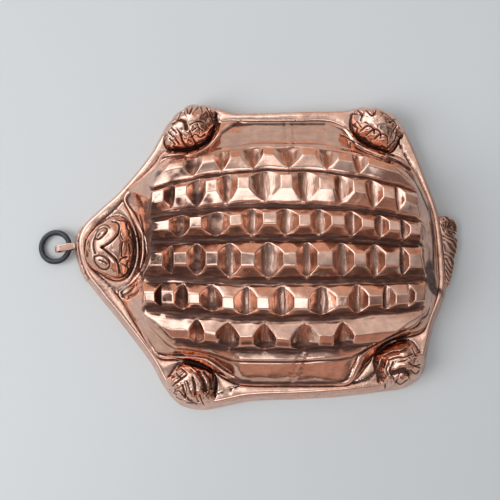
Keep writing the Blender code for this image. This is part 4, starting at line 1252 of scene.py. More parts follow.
def facing_distances(edge):
    """For each point of the rows' edge, the distance along the dome's foot that faces it."""
    lengths = np.concatenate([[0.0], np.cumsum(np.linalg.norm(np.diff(closed(edge), axis=0), axis=1))])
    pairs = []
    for from_edge, to_foot in SPOKES:
        nearest = np.linalg.norm(edge - np.array(from_edge) * MM, axis=1).argmin()
        pairs.append((lengths[nearest], foot_line.nearest(*to_foot)))
    pairs.sort()
    starts = [start for start, stop in pairs]
    stops = np.unwrap([stop for start, stop in pairs], period=foot_line.total)
    starts.append(starts[0] + lengths[-1])
    stops = np.append(stops, stops[0] + foot_line.total)
    places = (lengths[:-1] - starts[0]) % lengths[-1] + starts[0]
    return np.interp(places, starts, stops)


# %% Build the back
RIBS = (((29.5, 100), (30.5, 76)), ((31.5, -101), (40, -78)))
RIB_WIDTH, RIB_HEIGHT = 2.0 * MM, 1.1 * MM
BACK_WAVES = ((17 * MM, 0.28 * MM), (7 * MM, 0.14 * MM), (2.6 * MM, 0.03 * MM))
BACK_FOOT_DIRT = (0.9, 2.2 * MM)
# Patches of dirt at the front, between the sides, and fainter ones at the rear: where they fade in and out.
FRONT_PATCHES, REAR_SHARE = 0.9, 0.5
FRONT_FADE, FRONT_EDGE, SIDE_FADE = (-60 * MM, 10 * MM), (-76 * MM, -69 * MM), (56 * MM, 66 * MM)
REAR_FADE, GUTTER_END = (85 * MM, 125 * MM), 16 * MM
# How dark each gutter is: dirt, and painted shade in its hollow.
GUTTER_DIRT_AND_SHADE = (0.2, 0.5, 0.5, 0.62, 0.6, 0.6, 0.3)
# Dark places without a line of their own: points, width and strength.
STAINS = (
    (((-70.5, 28), (-69.5, 10), (-69.5, -12)), 4.5, 1.4),
    (((-77.5, 32), (-76.5, 13), (-76.5, -8)), 4.0, 0.35),
    (((136.5, 33), (138.5, 7), (137, -16)), 1.6, 0.7),
    (((132.5, -16), (136, -26)), 6.5, 0.9), (((134, -30), (146, -33)), 4.0, 1.0),
    (((120, 60), (127, 47), (134, 30)), 1.4, 0.8),
    (((-44.5, -72), (-27, -73), (-1, -72), (28, -73), (58.5, -73), (75.5, -72)), 2.6, 0.7),
    (((-10, -99.5), (30, -100), (68, -99.5)), 2.4, 0.8),
    (((-22, 101.5), (4, 102), (34, 102), (60, 102), (72, 98.5)), 1.5, 1.2),
    (((-12, 98.5), (34, 98.5), (58, 98.5)), 2.6, 0.55),
    (((-14, -97), (0, -99)), 3.0, 0.8),
)
# Lines chased into the slopes: points in drawn millimetres, width and depth. A depth below 0 is a ridge.
SLOPE_LINES = (
    (((-66, 71), (-59.5, 71.5), (-50, 71.5)), 1.7, 1.6),
    (((-68, -78.5), (-59.5, -78.5), (-49.5, -79)), 1.5, 1.5),
    (((106.5, 71.5), (114, 68.5), (122.5, 63.5)), 1.7, 1.5),
    (((72.5, 88.5), (79, 84.5), (87, 81)), 0.9, 0.9),
    (((-88, -9), (-84.5, -14), (-81, -19), (-78, -24)), 1.4, 1.4),
    (((-96.5, -35), (-91, -31.5), (-86, -27.5)), 0.9, 0.8),
    (((-78, -26), (-74, -31), (-70.5, -38.5)), 1.1, -1.0),
    (((-74.5, -24.5), (-70.5, -29.5), (-66.5, -36.5)), 1.1, -1.0),
    (((-83.5, 26), (-81, 17), (-80, 5.5), (-80, -4), (-82, -14)), 0.9, 0.9),
    (((81, -91.5), (88.5, -85), (97.5, -79)), 1.2, 1.0),
    (((-37, -86.5), (-22, -94), (-12, -99)), 1.0, 0.9),
)


def rib_height(places):
    """A raised seam across each side margin, with a dent along both its sides."""
    height = np.zeros(len(places))
    for rib in RIBS:
        away = distance_to(places, np.array(rib) * MM)
        height += RIB_HEIGHT * bell(away, 0.5 * RIB_WIDTH)
        height -= RIB_HEIGHT * 0.7 * bell(away - 1.2 * RIB_WIDTH, 0.4 * RIB_WIDTH)
    return height


def add_slopes(bm):
    """From the edge of the rows down to the deck, ring by ring."""
    edge = open_loop(next(vert for vert in bm.verts if vert.is_boundary))
    flat = drawn([vert.co for vert in edge])
    area = np.sum(flat[:, 0] * np.roll(flat[:, 1], -1) - np.roll(flat[:, 0], -1) * flat[:, 1])
    if area > 0:
        edge.reverse()
        flat = flat[::-1]
    tops = np.array([vert.co.z for vert in edge])
    distances = facing_distances(flat)
    foot = foot_line.at(distances)
    ribbon, bead, power, width = stretch_values(distances)
    length = np.linalg.norm(foot - flat, axis=1)
    width = np.minimum(width, MOST_RIBBON * length)
    right = smooth(RIGHT_FROM, RIGHT_TO, foot[:, 1])
    ribbon = ribbon * (RIBBON_HEIGHT - LEFT_RIBBON_LOSS * (1 - right))
    ribbon = ribbon * np.minimum(1.0, width / RIBBON_FULL_WIDTH)
    right = right * (bead > 0)
    bead_width = np.minimum(BEAD_WIDTH + (SHELF_WIDTH - BEAD_WIDTH) * right, MOST_BEAD * length)
    shelf = bead * SHELF_HEIGHT * right
    bead = bead * BEAD_HEIGHT * (1 - right)
    power = power - RIGHT_ROUNDING * right
    base = SEAT + FOOT_STEP
    even_tops = evened(tops, EDGE_ROUNDS)
    even_flat = evened(flat, PLAN_ROUNDS)
    tones = [bm.verts.layers.float[name] for name in ("pocket", "shade_and_dark_front")]
    ring = edge
    for step in range(1, SLOPE_RINGS + 1):
        share = 1 - step / SLOPE_RINGS
        share = share + RING_CROWDING * math.sin(2 * math.pi * share) / (2 * math.pi)
        kept = share ** KEPT_POWER
        place = foot + (flat * kept + even_flat * (1 - kept) - foot) * share
        height = base + (tops * kept + even_tops * (1 - kept) - base) * share ** power
        height += ribbon * ribbon_profile(length * share, width)
        height += bead * bead_profile(length * (1 - share), bead_width)
        height += shelf * shelf_profile(length * (1 - share), bead_width)
        inner = float(smooth(0, 0.12, share) * (1 - smooth(0.88, 1.0, share)))
        on_margin = bead + shelf > 0.5 * BEAD_HEIGHT
        height += (rib_height(place) * on_margin + chase(place, SLOPE_LINES)) * inner
        ring = extrude_ring(bm, ring, lifted(place, np.maximum(height, base)))
        for vert in ring:
            for tone in tones:
                vert[tone] *= TONE_KEPT
    return extrude_ring(bm, ring, lifted(foot, deck_level(foot, np.zeros(len(foot))) + JOIN_GAP))


def build_back():
    bm = bmesh.new()
    for row in range(len(PLATEAUS)):
        mesh = make_row(row)
        bm.from_mesh(mesh)
        bpy.data.meshes.remove(mesh)
    add_gutters(bm)
    long_edges = [edge for edge in bm.edges if edge.is_boundary and edge.calc_length() > 1.6 * FACET_SIZE]
    bmesh.ops.subdivide_edges(bm, edges=long_edges, cuts=1)
    add_slopes(bm)
    face_up(bm)
    hammer(bm, BACK_WAVES, 1, still=lambda co: min(1.0, (co.z - SEAT) / (4 * MM)))

    def grime_and_shade(places):
        flat_places = drawn(places)
        x, y = flat_places.T
        dirt = band(places[:, 2] - SEAT, *BACK_FOOT_DIRT) + line_dirt_and_reflection(flat_places, SLOPE_LINES, 1.0)
        dirt += line_dirt_and_reflection(flat_places, STAINS, 1.6)
        front = (1 - smooth(*FRONT_FADE, x)) * smooth(*FRONT_EDGE, x) * (1 - smooth(*SIDE_FADE, np.abs(y)))
        rear = smooth(*REAR_FADE, x)
        patches = np.clip(blotchy(flat_places, 8 * MM) - 0.8, 0, 1)
        patches += 0.7 * np.clip(blotchy(flat_places, 2.8 * MM) - 1.0, 0, 1)
        dirt += FRONT_PATCHES * patches * np.maximum(front, REAR_SHARE * rear)
        for line in range(len(ROW_LINES)):
            front_end, rear_end = line_end(line, -1), line_end(line, 1)
            path = np.array([(place, line_y(line, place)) for place in np.linspace(front_end, rear_end, 24)])
            # Dirt and painted shade along the gutter, fading out at its rear end.
            shaded_gutter = band(distance_to(flat_places, path), GUTTER_DIRT_AND_SHADE[line], 0.8 * GUTTER_HALF_WIDTHS[line])
            dirt += shaded_gutter * (1 - 0.9 * smooth(rear_end - GUTTER_END, rear_end, x))
        return dirt

    return make_piece("carapace", bm, polished, lining=tin, extra=grime_and_shade)


build_back()

# %% [markdown]
# ## Head and feet
#
# The head and the feet are hollow bosses that were worked from the front with punches, so their relief
# is lines: the rings round the eyes, the scrolled brow, scales and toes. Each boss is a ring of points
# extruded inwards over a rounded profile, and each chased line then presses the points near it down. A
# line with a depth below zero raises them instead. Sculpting by hand would be quicker, but these lines
# can be moved one by one.

# %% A boss
# How the rings of a boss are spaced, from round to even, and how blunt its top is.
ROUND_SPACING, TOP_POWER = 0.35, 0.75
# Dirt along a boss's outline, how far up the painted shade low on a boss reaches, and where near the rim
# both fade out.
BOSS_LINE_DIRT, LOW_SHADE_REACH, BOSS_RUBBED_EDGE = (0.45, 0.8 * MM), 5 * MM, (4.5 * MM, 9 * MM)


def build_boss(name, outline, middle, rise, relief, lines, rings, seed, waves, body_round=2.6, low_shade=0.05):
    """A hollow boss on the deck: a short upright foot, then a round top with the relief pressed into it."""
    bm = bmesh.new()
    middle = np.array(middle) * MM
    level = deck_level(outline, np.zeros(len(outline))) + JOIN_GAP
    top = SEAT + FOOT_STEP + rise
    ring = close_ring(bm, outline, SEAT)
    for vert, height in zip(ring, level):
        vert.co.z = height
    ring = extrude_ring(bm, ring, lifted(outline, level + 0.8 * FOOT_STEP))
    for step in range(rings):
        share = math.cos(0.5 * math.pi * step / rings) * ROUND_SPACING
        share += (1 - step / rings) * (1 - ROUND_SPACING)
        places = middle + (outline - middle) * share
        low = level + FOOT_STEP
        height = low + (top - low) * (1 - share ** body_round) ** TOP_POWER
        height = height + relief(places, share) * min(1.0, (1 - share) * 12)
        ring = extrude_ring(bm, ring, lifted(places, height))
    summit = np.mean([vert.co.z for vert in ring])
    bmesh.ops.pointmerge(bm, verts=ring, merge_co=Vector(lifted([middle], summit)[0]))
    face_up(bm)
    hammer(bm, waves, seed, still=lambda co: min(1.0, max(0.0, co.z - SEAT) / (3 * MM)))

    def grime_and_shade(places):
        flat_places = drawn(places)
        away = distance_to(flat_places, closed(outline))
        inside = smooth(*BOSS_RUBBED_EDGE, distance_to(flat_places, rim.points))
        low = inside * band(away, *BOSS_LINE_DIRT) * blotchy(flat_places, 6 * MM)
        # Painted shade low on the boss, near the deck.
        low += inside * band(places[:, 2] - SEAT, low_shade, LOW_SHADE_REACH)
        return low + line_dirt_and_reflection(flat_places, lines)

    return make_piece(name, bm, polished, lining=tin, wide_rounds=10, extra=grime_and_shade)

# %% Build the head
HEAD_MIDDLE = (-104, 1)
HEAD_RISE = 16.0 * MM
HEAD_WAVES = ((14 * MM, 0.25 * MM), (4.5 * MM, 0.14 * MM), (2.2 * MM, 0.05 * MM))
# Chased lines: points in drawn millimetres, width and depth. A depth below 0 is a ridge.
EYE_LINES = (
    (((-116, 8), (-115.5, 11.5), (-113.5, 14.5), (-110, 16), (-107, 14.5), (-107.5, 11.5), (-110, 8.5),
      (-113, 6.8), (-116, 8)), 1.0, 1.5),
    (((-115.5, 14.5), (-112.5, 17.8), (-108, 18.3), (-105, 16)), 0.9, 0.8),
    (((-114, 9.5), (-112.5, 11)), 1.0, 0.9),
    (((-116, -6), (-116, -9.5), (-113, -13.5), (-108.5, -15.5), (-105, -14), (-104.5, -10.5), (-107, -7.5),
      (-112, -5.5), (-116, -6)), 1.0, 1.5),
    (((-112, -9), (-108.5, -10.5), (-106, -12)), 1.0, 0.9),
)
BROW_LINES = (
    (((-103.5, 21), (-99.5, 20), (-98, 15.5), (-98.5, 11), (-101.5, 6.5), (-105, 3.5), (-110, 0.5)),
     1.25, 1.8),
    (((-110, 0.5), (-106.5, -2.5), (-103, -5.5), (-99.5, -9), (-98, -13.5), (-98, -18)), 1.25, 1.8),
    (((-116.5, 7), (-117, 3.5), (-116.5, -0.5), (-115.5, -3.5)), 1.5, 1.5),
    (((-121, 4.5), (-120.5, 2)), 0.7, 0.8),
    (((-121, 0), (-120.5, -2)), 0.7, 0.8),
)
SCALE_LINES = (
    (((-95, 4), (-95.5, -0.5), (-95.5, -6)), 1.0, 1.2),
    (((-96.5, 13.5), (-96.5, 10), (-95, 7)), 0.9, 1.1),
    (((-93.5, 21), (-92.5, 16), (-91, 14), (-91, 10.5), (-89, 8)), 0.9, 1.1),
    (((-97.5, -10.5), (-95.5, -7.5), (-92.5, -6)), 0.9, 1.1),
    (((-97.5, -15), (-96, -19), (-93.5, -19.5)), 0.9, 1.0),
    (((-91.5, -9), (-92, -12.5), (-90, -16.5), (-87, -16.5)), 0.9, 1.1),
    (((-100.5, 22.5), (-94.5, 22.5), (-90, 20), (-87.5, 15.5), (-86, 9.5)), 0.8, 0.9),
    (((-91, 4), (-90, -3)), 0.8, 0.8),
)
# Each eye's middle, width and bulge.
EYE_DOMES = (((-111, 12), 4.2, 1.6), ((-109.5, -10.5), 4.4, 1.6))
HEAD_LINES = EYE_LINES + BROW_LINES + SCALE_LINES
# A dark band along the head's right side, and a painted dark reflection at its lower right: points, width
# and depth.
HEAD_DARK_BAND_AND_REFLECTION = ((((-90.5, 17), (-88, 2), (-90.5, -16)), 7.0, 0.5), (((-96, -14), (-92, -10)), 5.0, 0.4))


def bulge(places, middle, width, height):
    """A round swelling. Its middle, width and height are in millimetres."""
    away = np.linalg.norm(places - np.array(middle) * MM, axis=1)
    return height * MM * bell(away, width * MM)


def head_relief(places, share):
    return chase(places, HEAD_LINES) + sum(bulge(places, *dome) for dome in EYE_DOMES)


build_boss("head", head_line.at(head_line.even(260)), HEAD_MIDDLE, HEAD_RISE, head_relief,
           HEAD_LINES + HEAD_DARK_BAND_AND_REFLECTION, 48, 21, HEAD_WAVES)

# %% Build the four feet
FOOT_RISE = 14.0 * MM
TOE_DEPTH = 2.6 * MM
FOOT_WAVES = ((14 * MM, 0.3 * MM), (4.5 * MM, 0.45 * MM), (2.2 * MM, 0.2 * MM))
# How round a foot is, and how dark the painted shade low on it is.
FOOT_ROUND, FOOT_LOW_SHADE = 2.8, 0.9
FOOT_LINES = {
    "front_left_foot": (
        (((-52.5, 106.5), (-55, 100)), 0.8, 1.3), (((-48, 109), (-47, 104)), 0.7, 1.0),
        (((-44, 110), (-45.5, 103.5)), 0.8, 1.4), (((-37.5, 111), (-36, 105.5)), 0.8, 1.3),
        (((-33, 110.5), (-30.5, 105.5), (-28, 99.5)), 0.9, 1.4),
        (((-58.5, 97.5), (-54, 99.5), (-49.5, 97.5), (-48, 92)), 2.0, 2.4),
        (((-45, 95), (-40, 97.5), (-35.5, 97.5), (-32, 94)), 0.8, 1.3),
        (((-43.5, 90.5), (-39.5, 93), (-35.5, 91.5)), 0.7, 1.2),
        (((-44.5, 86.5), (-41, 88.5), (-38, 87), (-34, 89)), 0.7, 1.2),
        (((-41, 83), (-37, 85), (-32.5, 86.5)), 0.7, 1.1),
        (((-39.5, 95.5), (-38, 92), (-38.5, 89)), 0.6, 0.9),
        (((-50, 89), (-46.5, 87.5), (-48, 83.5)), 0.9, -1.2),
        (((-45.5, 85), (-42.5, 82.5), (-46, 80)), 0.9, -1.2),
        (((-52.5, 88), (-51, 83.5), (-47, 79)), 0.9, 1.5),
        (((-45.5, 90.5), (-43.5, 86.5), (-40, 81)), 0.7, 1.2), (((-62.5, 91.5), (-58.5, 86.5)), 0.8, 1.3),
        (((-60, 94), (-55.5, 89)), 0.8, 1.3), (((-61.5, 86), (-57, 82)), 0.8, 1.3),
        (((-58, 87.5), (-54, 82)), 0.7, 1.2), (((-59, 81), (-54, 79)), 0.8, 1.2),
        (((-55, 92), (-51.5, 87.5)), 0.7, 1.2),
    ),
    "rear_left_foot": (
        (((83.5, 109), (86.5, 102.5)), 0.9, 1.4), (((89.5, 107.5), (93.5, 102), (97, 107)), 0.9, 1.4),
        (((87, 105), (85, 99.5)), 0.8, 1.2), (((85.5, 92), (90, 94.5), (94, 92.5), (95.5, 88.5)), 0.8, 1.4),
        (((90, 88.5), (95, 91.5), (99.5, 89.5), (100.5, 85.5)), 0.8, 1.4),
        (((96, 85.5), (100.5, 88), (105, 86.5), (106, 82)), 0.8, 1.4),
        (((84, 89), (88.5, 86.5), (93, 83.5), (97.5, 80.5)), 0.8, 1.3),
        (((88.5, 91.5), (91.5, 91)), 0.7, -1.0), (((93.5, 88), (97, 87.5)), 0.7, -1.0),
        (((99, 84.5), (103, 84.5)), 0.7, -1.0), (((99.5, 105.5), (104, 104), (108.5, 100)), 0.6, 0.8),
        (((107, 97), (110, 99), (112.5, 95.5), (110, 91.5)), 1.1, 1.6),
        (((113, 93), (112, 86.5), (108, 81), (103.5, 77)), 0.9, 1.4), (((101.5, 81), (106, 79)), 0.7, 1.0),
        (((79.5, 98.5), (83, 94), (81.5, 89), (86, 85)), 1.0, 1.4),
        (((82.5, 99.5), (85.5, 94.5)), 0.7, 1.1), (((88, 97.5), (91, 95.5)), 0.6, 0.8),
    ),
    "front_right_foot": (
        (((-58, -99), (-53.5, -95.5), (-49, -92)), 1.0, -1.6), (((-59.5, -104), (-54, -101)), 1.0, -1.6),
        (((-46.5, -99), (-45, -103.5), (-43.5, -108)), 1.0, -1.5),
        (((-44, -87.5), (-39.5, -91.5)), 1.0, -1.2), (((-32.5, -110), (-28, -113.5)), 1.3, -1.2),
        (((-56.5, -102), (-51, -97.5), (-46, -94)), 1.0, 1.8),
        (((-58.5, -107), (-52.5, -105.5), (-48, -109.5)), 1.0, 1.6),
        (((-49, -101.5), (-46.5, -109.5), (-42, -114.5)), 1.0, 1.8),
        (((-41.5, -96), (-40, -102), (-39.5, -108)), 1.1, 1.8),
        (((-37, -92.5), (-33.5, -98.5), (-32, -105)), 2.6, 2.4),
        (((-33.5, -92), (-29, -97.5), (-28.5, -103.5)), 1.6, 1.8), (((-54, -110), (-48, -113.5)), 0.9, 1.4),
        (((-50.5, -113), (-43.5, -114.5)), 0.8, 1.3), (((-43, -112), (-37, -117.5)), 0.9, 1.4),
        (((-57.5, -106.5), (-54, -108)), 0.8, 1.2), (((-50.5, -89), (-45.5, -93)), 0.8, 1.2),
        (((-54, -92.5), (-50.5, -96)), 0.8, 1.2), (((-36.5, -108.5), (-34, -116)), 0.9, 1.3),
    ),
    "rear_right_foot": (
        (((101.5, -83.5), (99.5, -91), (103, -98.5), (104, -105.5)), 1.5, -2.2),
        (((98, -83), (96.5, -90.5), (99, -99)), 1.0, 1.6),
        (((106, -92.5), (112, -90.5), (117.5, -92)), 3.4, 3.2),
        (((105.5, -85), (103.5, -91), (106.5, -97)), 0.9, 1.5),
        (((117, -85), (121.5, -87.5), (126, -86)), 0.8, 1.3),
        (((119, -90.5), (123, -93), (126, -90.5)), 0.8, 1.3),
        (((108, -98.5), (112.5, -100.5), (117, -97.5)), 0.9, 1.4),
        (((109.5, -102.5), (113.5, -104)), 0.8, 1.2), (((115.5, -95.5), (119, -94.5)), 0.9, -1.2),
        (((110, -96), (113, -97.5)), 0.9, -1.2),
        (((99.5, -80), (105.5, -77), (111.5, -76.5), (116, -74)), 0.8, 1.2),
        (((102.5, -83), (108.5, -81), (114, -81), (120, -78.5)), 0.8, 1.3),
        (((120.5, -74), (123, -80)), 0.8, 1.2), (((100.5, -100.5), (102.5, -105.5)), 0.8, 1.2),
        (((120.5, -97.5), (116.5, -102)), 0.8, 1.2),
        (((109.5, -84.5), (114, -83.5), (118, -81.5)), 0.7, 1.0),
    ),
}
# The smooth knuckle over each foot's toes: its middle, its size and its height in mm.
KNUCKLES = {
    "front_left_foot": ((-42.5, 102), 9, 2.0),
    "front_right_foot": ((-41, -100), 9, 0.0),
    "rear_left_foot": ((98.5, 100), 10, 2.0),
    "rear_right_foot": ((113.5, -81.5), 8, 1.0),
}


def build_foot(name, seed):
    outline, middle, heading = FEET[name]

    def relief(places, share):
        off = off_heading(places - np.array(middle) * MM, heading)
        toes = TOE_DEPTH * 0.6 * between_toes(off) * max(0.0, share - 0.45) / 0.55
        return chase(places, FOOT_LINES[name]) + bulge(places, *KNUCKLES[name]) - toes

    return build_boss(name, foot_rings[name], middle, FOOT_RISE, relief, FOOT_LINES[name], 44, seed,
                      FOOT_WAVES, FOOT_ROUND, FOOT_LOW_SHADE)


for number, foot_name in enumerate(FEET):
    build_foot(foot_name, 31 + number)

# %% [markdown]
# ## The tail
#
# The tail is a small tuft soldered to the outside of the wall. Its strands sweep back and down and
# meet in a thin tip. A ring of points is extruded along the wall: its outer half makes the tuft, and
# its inner half lies against the wall.

# %% Build the tail
TAIL_MIDDLE = (152.0, 1.0)
TAIL_LENGTH = 56.0 * MM
TAIL_REACH = 12.1 * MM
TAIL_BOTTOM, TAIL_TOP = 1.0 * MM, 14.0 * MM
TAIL_SECTIONS = 130
TAIL_POINTS = 64
STRAND_WIDTH, HAIR_DEPTH = 3.1 * MM, 1.6 * MM
# The notches between the tuft's lobes: where along it, how wide and how deep. Then its curl.
LOBE_NOTCHES = ((0.30, 0.04, 0.22), (0.62, 0.05, 0.14))
CURL_DEPTH = 4.5 * MM
# Dirt over the whole tuft, and dirt with painted shade in the grooves between its strands.
TAIL_DIRT, HAIR_DIRT_AND_SHADE = 0.15, 1.3


def hair(places):
    """How deep in a groove between two strands places are, from 0 to 1. The strands slant back and down."""
    bend = np.array([noise.noise(Vector((x / (9 * MM), y / (9 * MM), 0.3))) for x, y in places])
    across = (places[:, 0] + places[:, 1]) / math.sqrt(2) / STRAND_WIDTH + 1.1 * bend
    return (1 - np.abs(np.sin(math.pi * across))) ** 0.8


def tail_section(share):
    """The points round the tuft at a share of its length."""
    front = min(1.0, share / 0.12)
    back = max(0.0, (share - 0.25) / 0.75)
    swell = max(0.06, math.sin(0.5 * math.pi * front) ** 0.5 * (1 - 0.86 * back ** 1.3))
    lobes = 1 - sum(depth * bell(share - place, width) for place, width, depth in LOBE_NOTCHES)
    distance = rim.nearest(*TAIL_MIDDLE) + (share - 0.5) * TAIL_LENGTH
    here, out = rim.at(distance), rim.outward(distance)
    middle = (TAIL_BOTTOM + TAIL_TOP) / 2
    points = []
    for step in range(TAIL_POINTS):
        turn = 2 * math.pi * step / TAIL_POINTS - 0.5 * math.pi
        face = math.cos(turn)
        height = middle + (TAIL_TOP - TAIL_BOTTOM) / 2 * swell * math.sin(turn)
        away = JOIN_GAP
        if face > 0:
            full = (TAIL_REACH + 0.8 * MM) * swell * face
            curl = CURL_DEPTH * bell(share - 0.17, 0.06) * bell(turn - 0.75, 0.5)
            flat = here + out * (full * lobes - lean(height))
            groove = HAIR_DEPTH * float(hair(flat[None, :])[0])
            groove *= min(1.0, face * 2.5) * min(1.0, swell * 2.2)
            away += full * lobes - curl - groove
        place = here + out * (away - lean(height))
        points.append((place[0], place[1], height))
    return np.array(points)


def build_tail():
    bm = bmesh.new()
    first = tail_section(0.0)
    ring = close_ring(bm, first[:, :2], 0.0)
    for vert, height in zip(ring, first[:, 2]):
        vert.co.z = height
    caps = [list(ring)]
    for step in range(1, TAIL_SECTIONS + 1):
        section = tail_section(step / TAIL_SECTIONS)
        ring = extrude_ring(bm, ring, lifted(section[:, :2], section[:, 2]))
    caps.append(ring)
    for cap in caps:
        bmesh.ops.contextual_create(bm, geom=ring_edges(bm, cap))
    bmesh.ops.recalc_face_normals(bm, faces=bm.faces)

    def grime_and_shade(places):
        outer = smooth(0.5 * MM, 3 * MM, distance_to(drawn(places), rim.points))
        # Dirt, and dirt with painted shade in the hair's grooves away from the wall.
        return TAIL_DIRT + HAIR_DIRT_AND_SHADE * outer * hair(drawn(places))

    return make_piece("tail", bm, polished, thickness=0.0, rounds=1, wide_rounds=8, extra=grime_and_shade)


build_tail()

# %% [markdown]
# ## The hanger
#
# A narrow plate with scalloped ends is soldered to the wall in front of the head. A strap of copper is
# bent back on itself to make an eye, and a ring of iron wire hangs in it. Strip and wire are both bent
# metal, so the plate and strap are bands of faces with Solidify, and the ring is a circle spun round.

# %% Build the hanger's plate
PLATE_TIP = (-135.0, -2.0)
PLATE_LENGTH = 46.0 * MM
PLATE_THICKNESS, PLATE_CROWN, PLATE_LOBE = 1.2 * MM, 0.35 * MM, 1.4 * MM
PLATE_DIRT = 0.12
PLATE_WAVES = ((6 * MM, 0.08 * MM),)
plate_low, plate_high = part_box("hanger_plate")
PLATE_MIDDLE = (plate_low.z + plate_high.z) / 2
PLATE_HALF_HEIGHT = (plate_high.z - plate_low.z) / 2


def wall_point(distance, height, away):
    """A point off the wall's outside, in the frame."""
    place = rim.at(distance) + rim.outward(distance) * (away - lean(height))
    return Vector((place[0] + SHIFT[0], place[1] + SHIFT[1], height))


def build_plate():
    bm = bmesh.new()
    long_cells, high_cells = 120, 8
    grid = bmesh.ops.create_grid(bm, x_segments=long_cells, y_segments=high_cells, size=1.0)["verts"]
    tip = rim.nearest(*PLATE_TIP)
    for vert in grid:
        share, part = vert.co.x, vert.co.y
        lobes = PLATE_LOBE * abs(math.sin(share * math.pi * 2.5)) if abs(share) > 0.4 else PLATE_LOBE
        half = PLATE_HALF_HEIGHT - PLATE_LOBE + lobes - 0.35 * PLATE_HALF_HEIGHT * abs(share) ** 6
        crown = PLATE_CROWN * (1 - part * part)
        vert.co = wall_point(tip + share * PLATE_LENGTH / 2, PLATE_MIDDLE + part * half, JOIN_GAP + crown)
    face_away(bm)
    hammer(bm, PLATE_WAVES, 41)

    return make_piece("hanger_plate", bm, rubbed, slot="wall_copper",
                      thickness=PLATE_THICKNESS - PLATE_CROWN, offset=1.0,
                      extra=lambda places: np.full(len(places), PLATE_DIRT))


build_plate()

# %% Build the strap
loop_low, loop_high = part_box("hanger_loop")
ring_low, ring_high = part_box("ring")
STRAP_THICKNESS, STRAP_WIDTH, STRAP_REACH = 1.3 * MM, 5.2 * MM, 15.0 * MM
EYE_HEIGHT, EYE_BOTTOM = 6.8 * MM, 3.9 * MM
STRAP_SKEW = math.radians(10)
joint = frame["joints"][0]
pivot = Vector(joint["pos_m"])
RING_STANDOFF = 3.9 * MM
root = Vector((pivot.x + RING_STANDOFF, pivot.y, 0.0))


def build_strap():
    bm = bmesh.new()
    radius = (EYE_HEIGHT + STRAP_THICKNESS) / 2
    middle = EYE_BOTTOM + EYE_HEIGHT / 2
    straight = STRAP_REACH - radius - STRAP_THICKNESS / 2
    starts = [lean(middle) - lean(middle + side * radius) for side in (1, -1)]
    path = [(starts[0] + (straight - starts[0]) * step / 8, middle + radius) for step in range(8)]
    path += [(straight + radius * math.cos(turn), middle + radius * math.sin(turn))
             for turn in np.linspace(0.5 * math.pi, -0.5 * math.pi, 25)]
    path += [(straight + (starts[1] - straight) * step / 8, middle - radius) for step in range(1, 9)]
    total = len(path) - 1
    grid = bmesh.ops.create_grid(bm, x_segments=total, y_segments=6, size=1.0)["verts"]
    cos, sin = math.cos(STRAP_SKEW), math.sin(STRAP_SKEW)
    for vert in grid:
        out, height = path[round((vert.co.x + 1) / 2 * total)]
        bulge = 0.82 + 0.18 * math.sin(math.pi * min(1.0, out / straight))
        across = vert.co.y * STRAP_WIDTH / 2 * bulge
        vert.co = (root.x - out * cos - across * sin, root.y + across * cos - out * sin, height)
    centre = Vector((root.x - straight * 0.6, root.y - straight * 0.1, middle))
    face_out(bm, lambda face: face.normal.dot(face.calc_center_median() - centre))
    made = make_piece("hanger_loop", bm, polished, slot="wall_copper", thickness=STRAP_THICKNESS * 0.96,
                      offset=0.0, wide_rounds=2)
    soft = made.modifiers.new("rounded", "BEVEL")
    soft.width = 0.35 * MM
    soft.segments = 3
    soft.limit_method = "ANGLE"
    soft.angle_limit = math.radians(50)
    return made


build_strap()
print("the strap reaches", round((plate_low.x - loop_low.x) / MM, 1), "mm in front of the plate")

# %% [markdown]
# The ring is wrought iron, drawn to wire and bent. It is dark with oxide, and shines only where it is
# rubbed. Its material has its own nodes, since nothing else here is iron.

# %% Iron
IRON_COLOURS = ((0.028, 0.028, 0.030, 1), (0.10, 0.10, 0.105, 1))
RUST = (0.11, 0.05, 0.03, 1)


def iron_material():
    made, tree, shader = new_material("dark_iron")
    at = own_coordinates(tree)
    scale = cloud(tree, at, 260.0, 4.0, 0.6)
    rust = ramp(tree, cloud(tree, at, 90.0, 4.0, 0.7), 0.58, 0.72, 0.0, 0.5)
    colour = mix_colour(tree, scale, *IRON_COLOURS)
    tree.links.new(mix_colour(tree, rust, colour, RUST), shader.inputs["Base Color"])
    tree.links.new(ramp(tree, scale, 0.3, 0.7, 0.28, 0.5), shader.inputs["Roughness"])
    shader.inputs["Metallic"].default_value = 0.85
    add_bump(tree, shader, scale, 0.2 * MM)
    return made


iron = iron_material()

# %% Build the ring
RING_WIRE, RING_RADIUS = 4.3 * MM, 11.4 * MM
RING_WAVES = ((7 * MM, -0.12 * MM), (2.5 * MM, 0.04 * MM))


def build_ring():
    bm = bmesh.new()
    section = bmesh.ops.create_circle(bm, segments=20, radius=RING_WIRE / 2 - 0.05 * MM)["verts"]
    for vert in section:
        vert.co = (vert.co.x + RING_RADIUS, 0.0, vert.co.y)
    bmesh.ops.spin(bm, geom=list(bm.verts) + list(bm.edges), cent=(0, 0, 0), axis=(0, 0, 1), dvec=(0, 0, 0),
                   angle=2 * math.pi, steps=96, use_merge=True)
    bmesh.ops.remove_doubles(bm, verts=bm.verts, dist=0.01 * MM)
    bmesh.ops.recalc_face_normals(bm, faces=bm.faces)
    hammer(bm, RING_WAVES, 51)
    lowest = RING_WIRE / 2 + JOIN_GAP
    droop = -math.asin((pivot.z - lowest) / (2 * RING_RADIUS))
    cos, sin = math.cos(droop), math.sin(droop)
    for vert in bm.verts:
        x, z = vert.co.x - RING_RADIUS, vert.co.z
        vert.co = (pivot.x + x * cos + z * sin, pivot.y + vert.co.y, pivot.z - x * sin + z * cos)
    return make_piece("ring", bm, iron, body="ring", slot="iron", thickness=0.0, wide_rounds=2)


build_ring()
print("the ring is", round((ring_high.y - ring_low.y) / MM, 1), "mm across")

